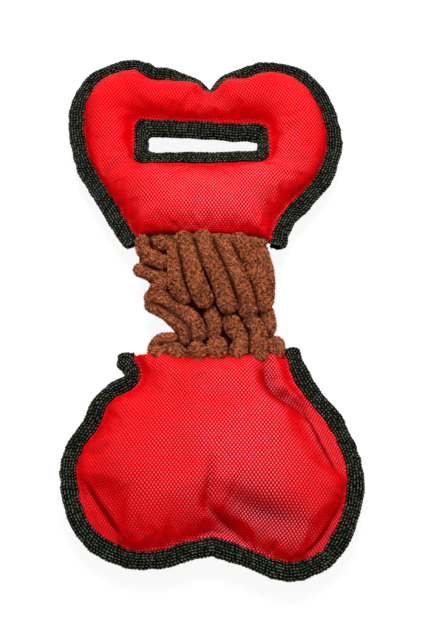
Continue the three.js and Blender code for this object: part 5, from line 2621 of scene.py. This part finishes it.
HANDLE_PAD = Pad(
    name="handle",
    body="handle_end",
    length=150.0,
    neck_y=HANDLE_NECK_Y,
    is_turned=False,
    outline=Outline(
        plus_side_shares=(
            (0.54, -0.02), (0.578, 0.06), (0.635, 0.12), (0.767, 0.22), (0.88, 0.325), (0.96, 0.52),
            (0.935, 0.66),
            (0.89, 0.758), (0.82, 0.845), (0.7, 0.926), (0.53, 0.968), (0.38, 0.966), (0.235, 0.935),
            (0.09, 0.887),
            (0.012, 0.812),
        ),
        minus_side_shares=(
            (-0.585, -0.02), (-0.755, 0.17), (-0.92, 0.37), (-1, 0.6), (-0.975, 0.775), (-0.87, 0.898),
            (-0.72, 0.962), (-0.575, 0.986), (-0.445, 0.972), (-0.375, 0.938), (-0.28, 0.932),
            (-0.14, 0.896),
            (-0.05, 0.86), (0.012, 0.812),
        ),
        notch_depth=3.2,
        plus_overrun=2.0,
        minus_overrun=2.0,
    ),
    hub=None,
    crown=17.0,
    back_crown=16.0,
    creases=(Crease((0.62, 0.4), (0.56, 0.62), 3.0, 8.0), Crease((-0.72, 0.3), (-0.8, 0.6), 2.0, 8.0)),
    folds=(
        Fold(((-0.1, 0.77), (-0.01, 0.7)), 1.6, 3.2),
        Fold(((0.11, 0.76), (0.03, 0.69)), 1.6, 3.2),
        Fold(((-0.8, 0.3), (-0.68, 0.36), (-0.54, 0.42)), 2.2, 4.0),
        Fold(((0.45, 0.53), (0.66, 0.57)), 1.8, 3.6),
        Fold(((0.48, 0.42), (0.72, 0.37)), 1.6, 3.6),
        Fold(((-0.6, 0.04), (-0.37, 0.1)), -1.4, 4.0),
        Fold(((-0.42, 0.87), (-0.32, 0.8)), 1.4, 3.5),
        Fold(((0.48, 0.08), (0.3, 0.2)), 1.4, 4.5),
        Fold(((0.3, 0.9), (0.24, 0.78)), 1.0, 3.2),
        Fold(((-0.66, 0.85), (-0.6, 0.74)), 1.0, 3.2),
    ),
    neck_dip=-0.5,
    shine_centre=(0.2, 0.15),
    shine_half=(0.8, 0.5),
    least_shine=0.16,
    slot=Slot(centre=(-3.8, 76.0)),
)


def main() -> None:
    """Builds the toy in order."""
    logging.basicConfig(level=logging.INFO, format="%(message)s")
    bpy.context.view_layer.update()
    nylon = NylonFinish().material()
    ground = WebbingFinish(
        "webbing_ground", (0.0015, 0.002, 0.0015, 1.0), (0.005, 0.006, 0.004, 1.0), roughness=1.05
    ).material()
    floats = WebbingFinish(
        "webbing_floats",
        (0.016, 0.019, 0.012, 1.0),
        (0.125, 0.145, 0.1, 1.0),
        roughness=0.65,
        specular=0.1,
        reads_tone=True,
    ).material()
    pile = PlushFinish().material()
    tufts = PlushFinish("brown_plush_tufts", is_tufts=True).material()
    fibre = PlainFinish(
        "white_fibre", (0.62, 0.62, 0.6, 1.0), (0.85, 0.85, 0.83, 1.0), 0.9, 1200.0, relief=0.5
    ).material()
    tab = PlainFinish(
        "tab_webbing", (0.006, 0.007, 0.006, 1.0), (0.05, 0.055, 0.048, 1.0), 0.7, 700.0, relief=0.3
    ).material()
    shell = PlainFinish(
        "squeaker_plastic_shell", (0.78, 0.77, 0.71, 1.0), (0.88, 0.87, 0.82, 1.0), 0.4, 300.0, relief=0.05
    ).material()
    panels = {}
    for pad in (HANDLE_PAD, BITE_PAD):
        panels[pad.name] = [pad.panel(side, nylon) for side in Side]
        build_edge_binding(pad, ground, floats)
    build_slot_binding(HANDLE_PAD, ground, floats)
    Sleeve(pile, tufts).build()
    Strap(ElasticFinish().material()).build()
    Filling("handle_stuffing", "handle_end", fibre).build(panels["handle"])
    for layer in ("front", "back"):
        Filling(f"bite_stuffing_{layer}", "bite_end", fibre).build(panels["bite"])
    for end in ("bite", "handle"):
        build_anchor(f"{end}_strap_anchor", f"{end}_end", tab)
    for node in ("squeaker_bulb", "squeaker_reed"):
        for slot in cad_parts[node].material_slots:
            slot.material = shell
        LOG.info("%s: takes the plastic's material", node)
    Studio().build()


if __name__ == "__main__":
    main()
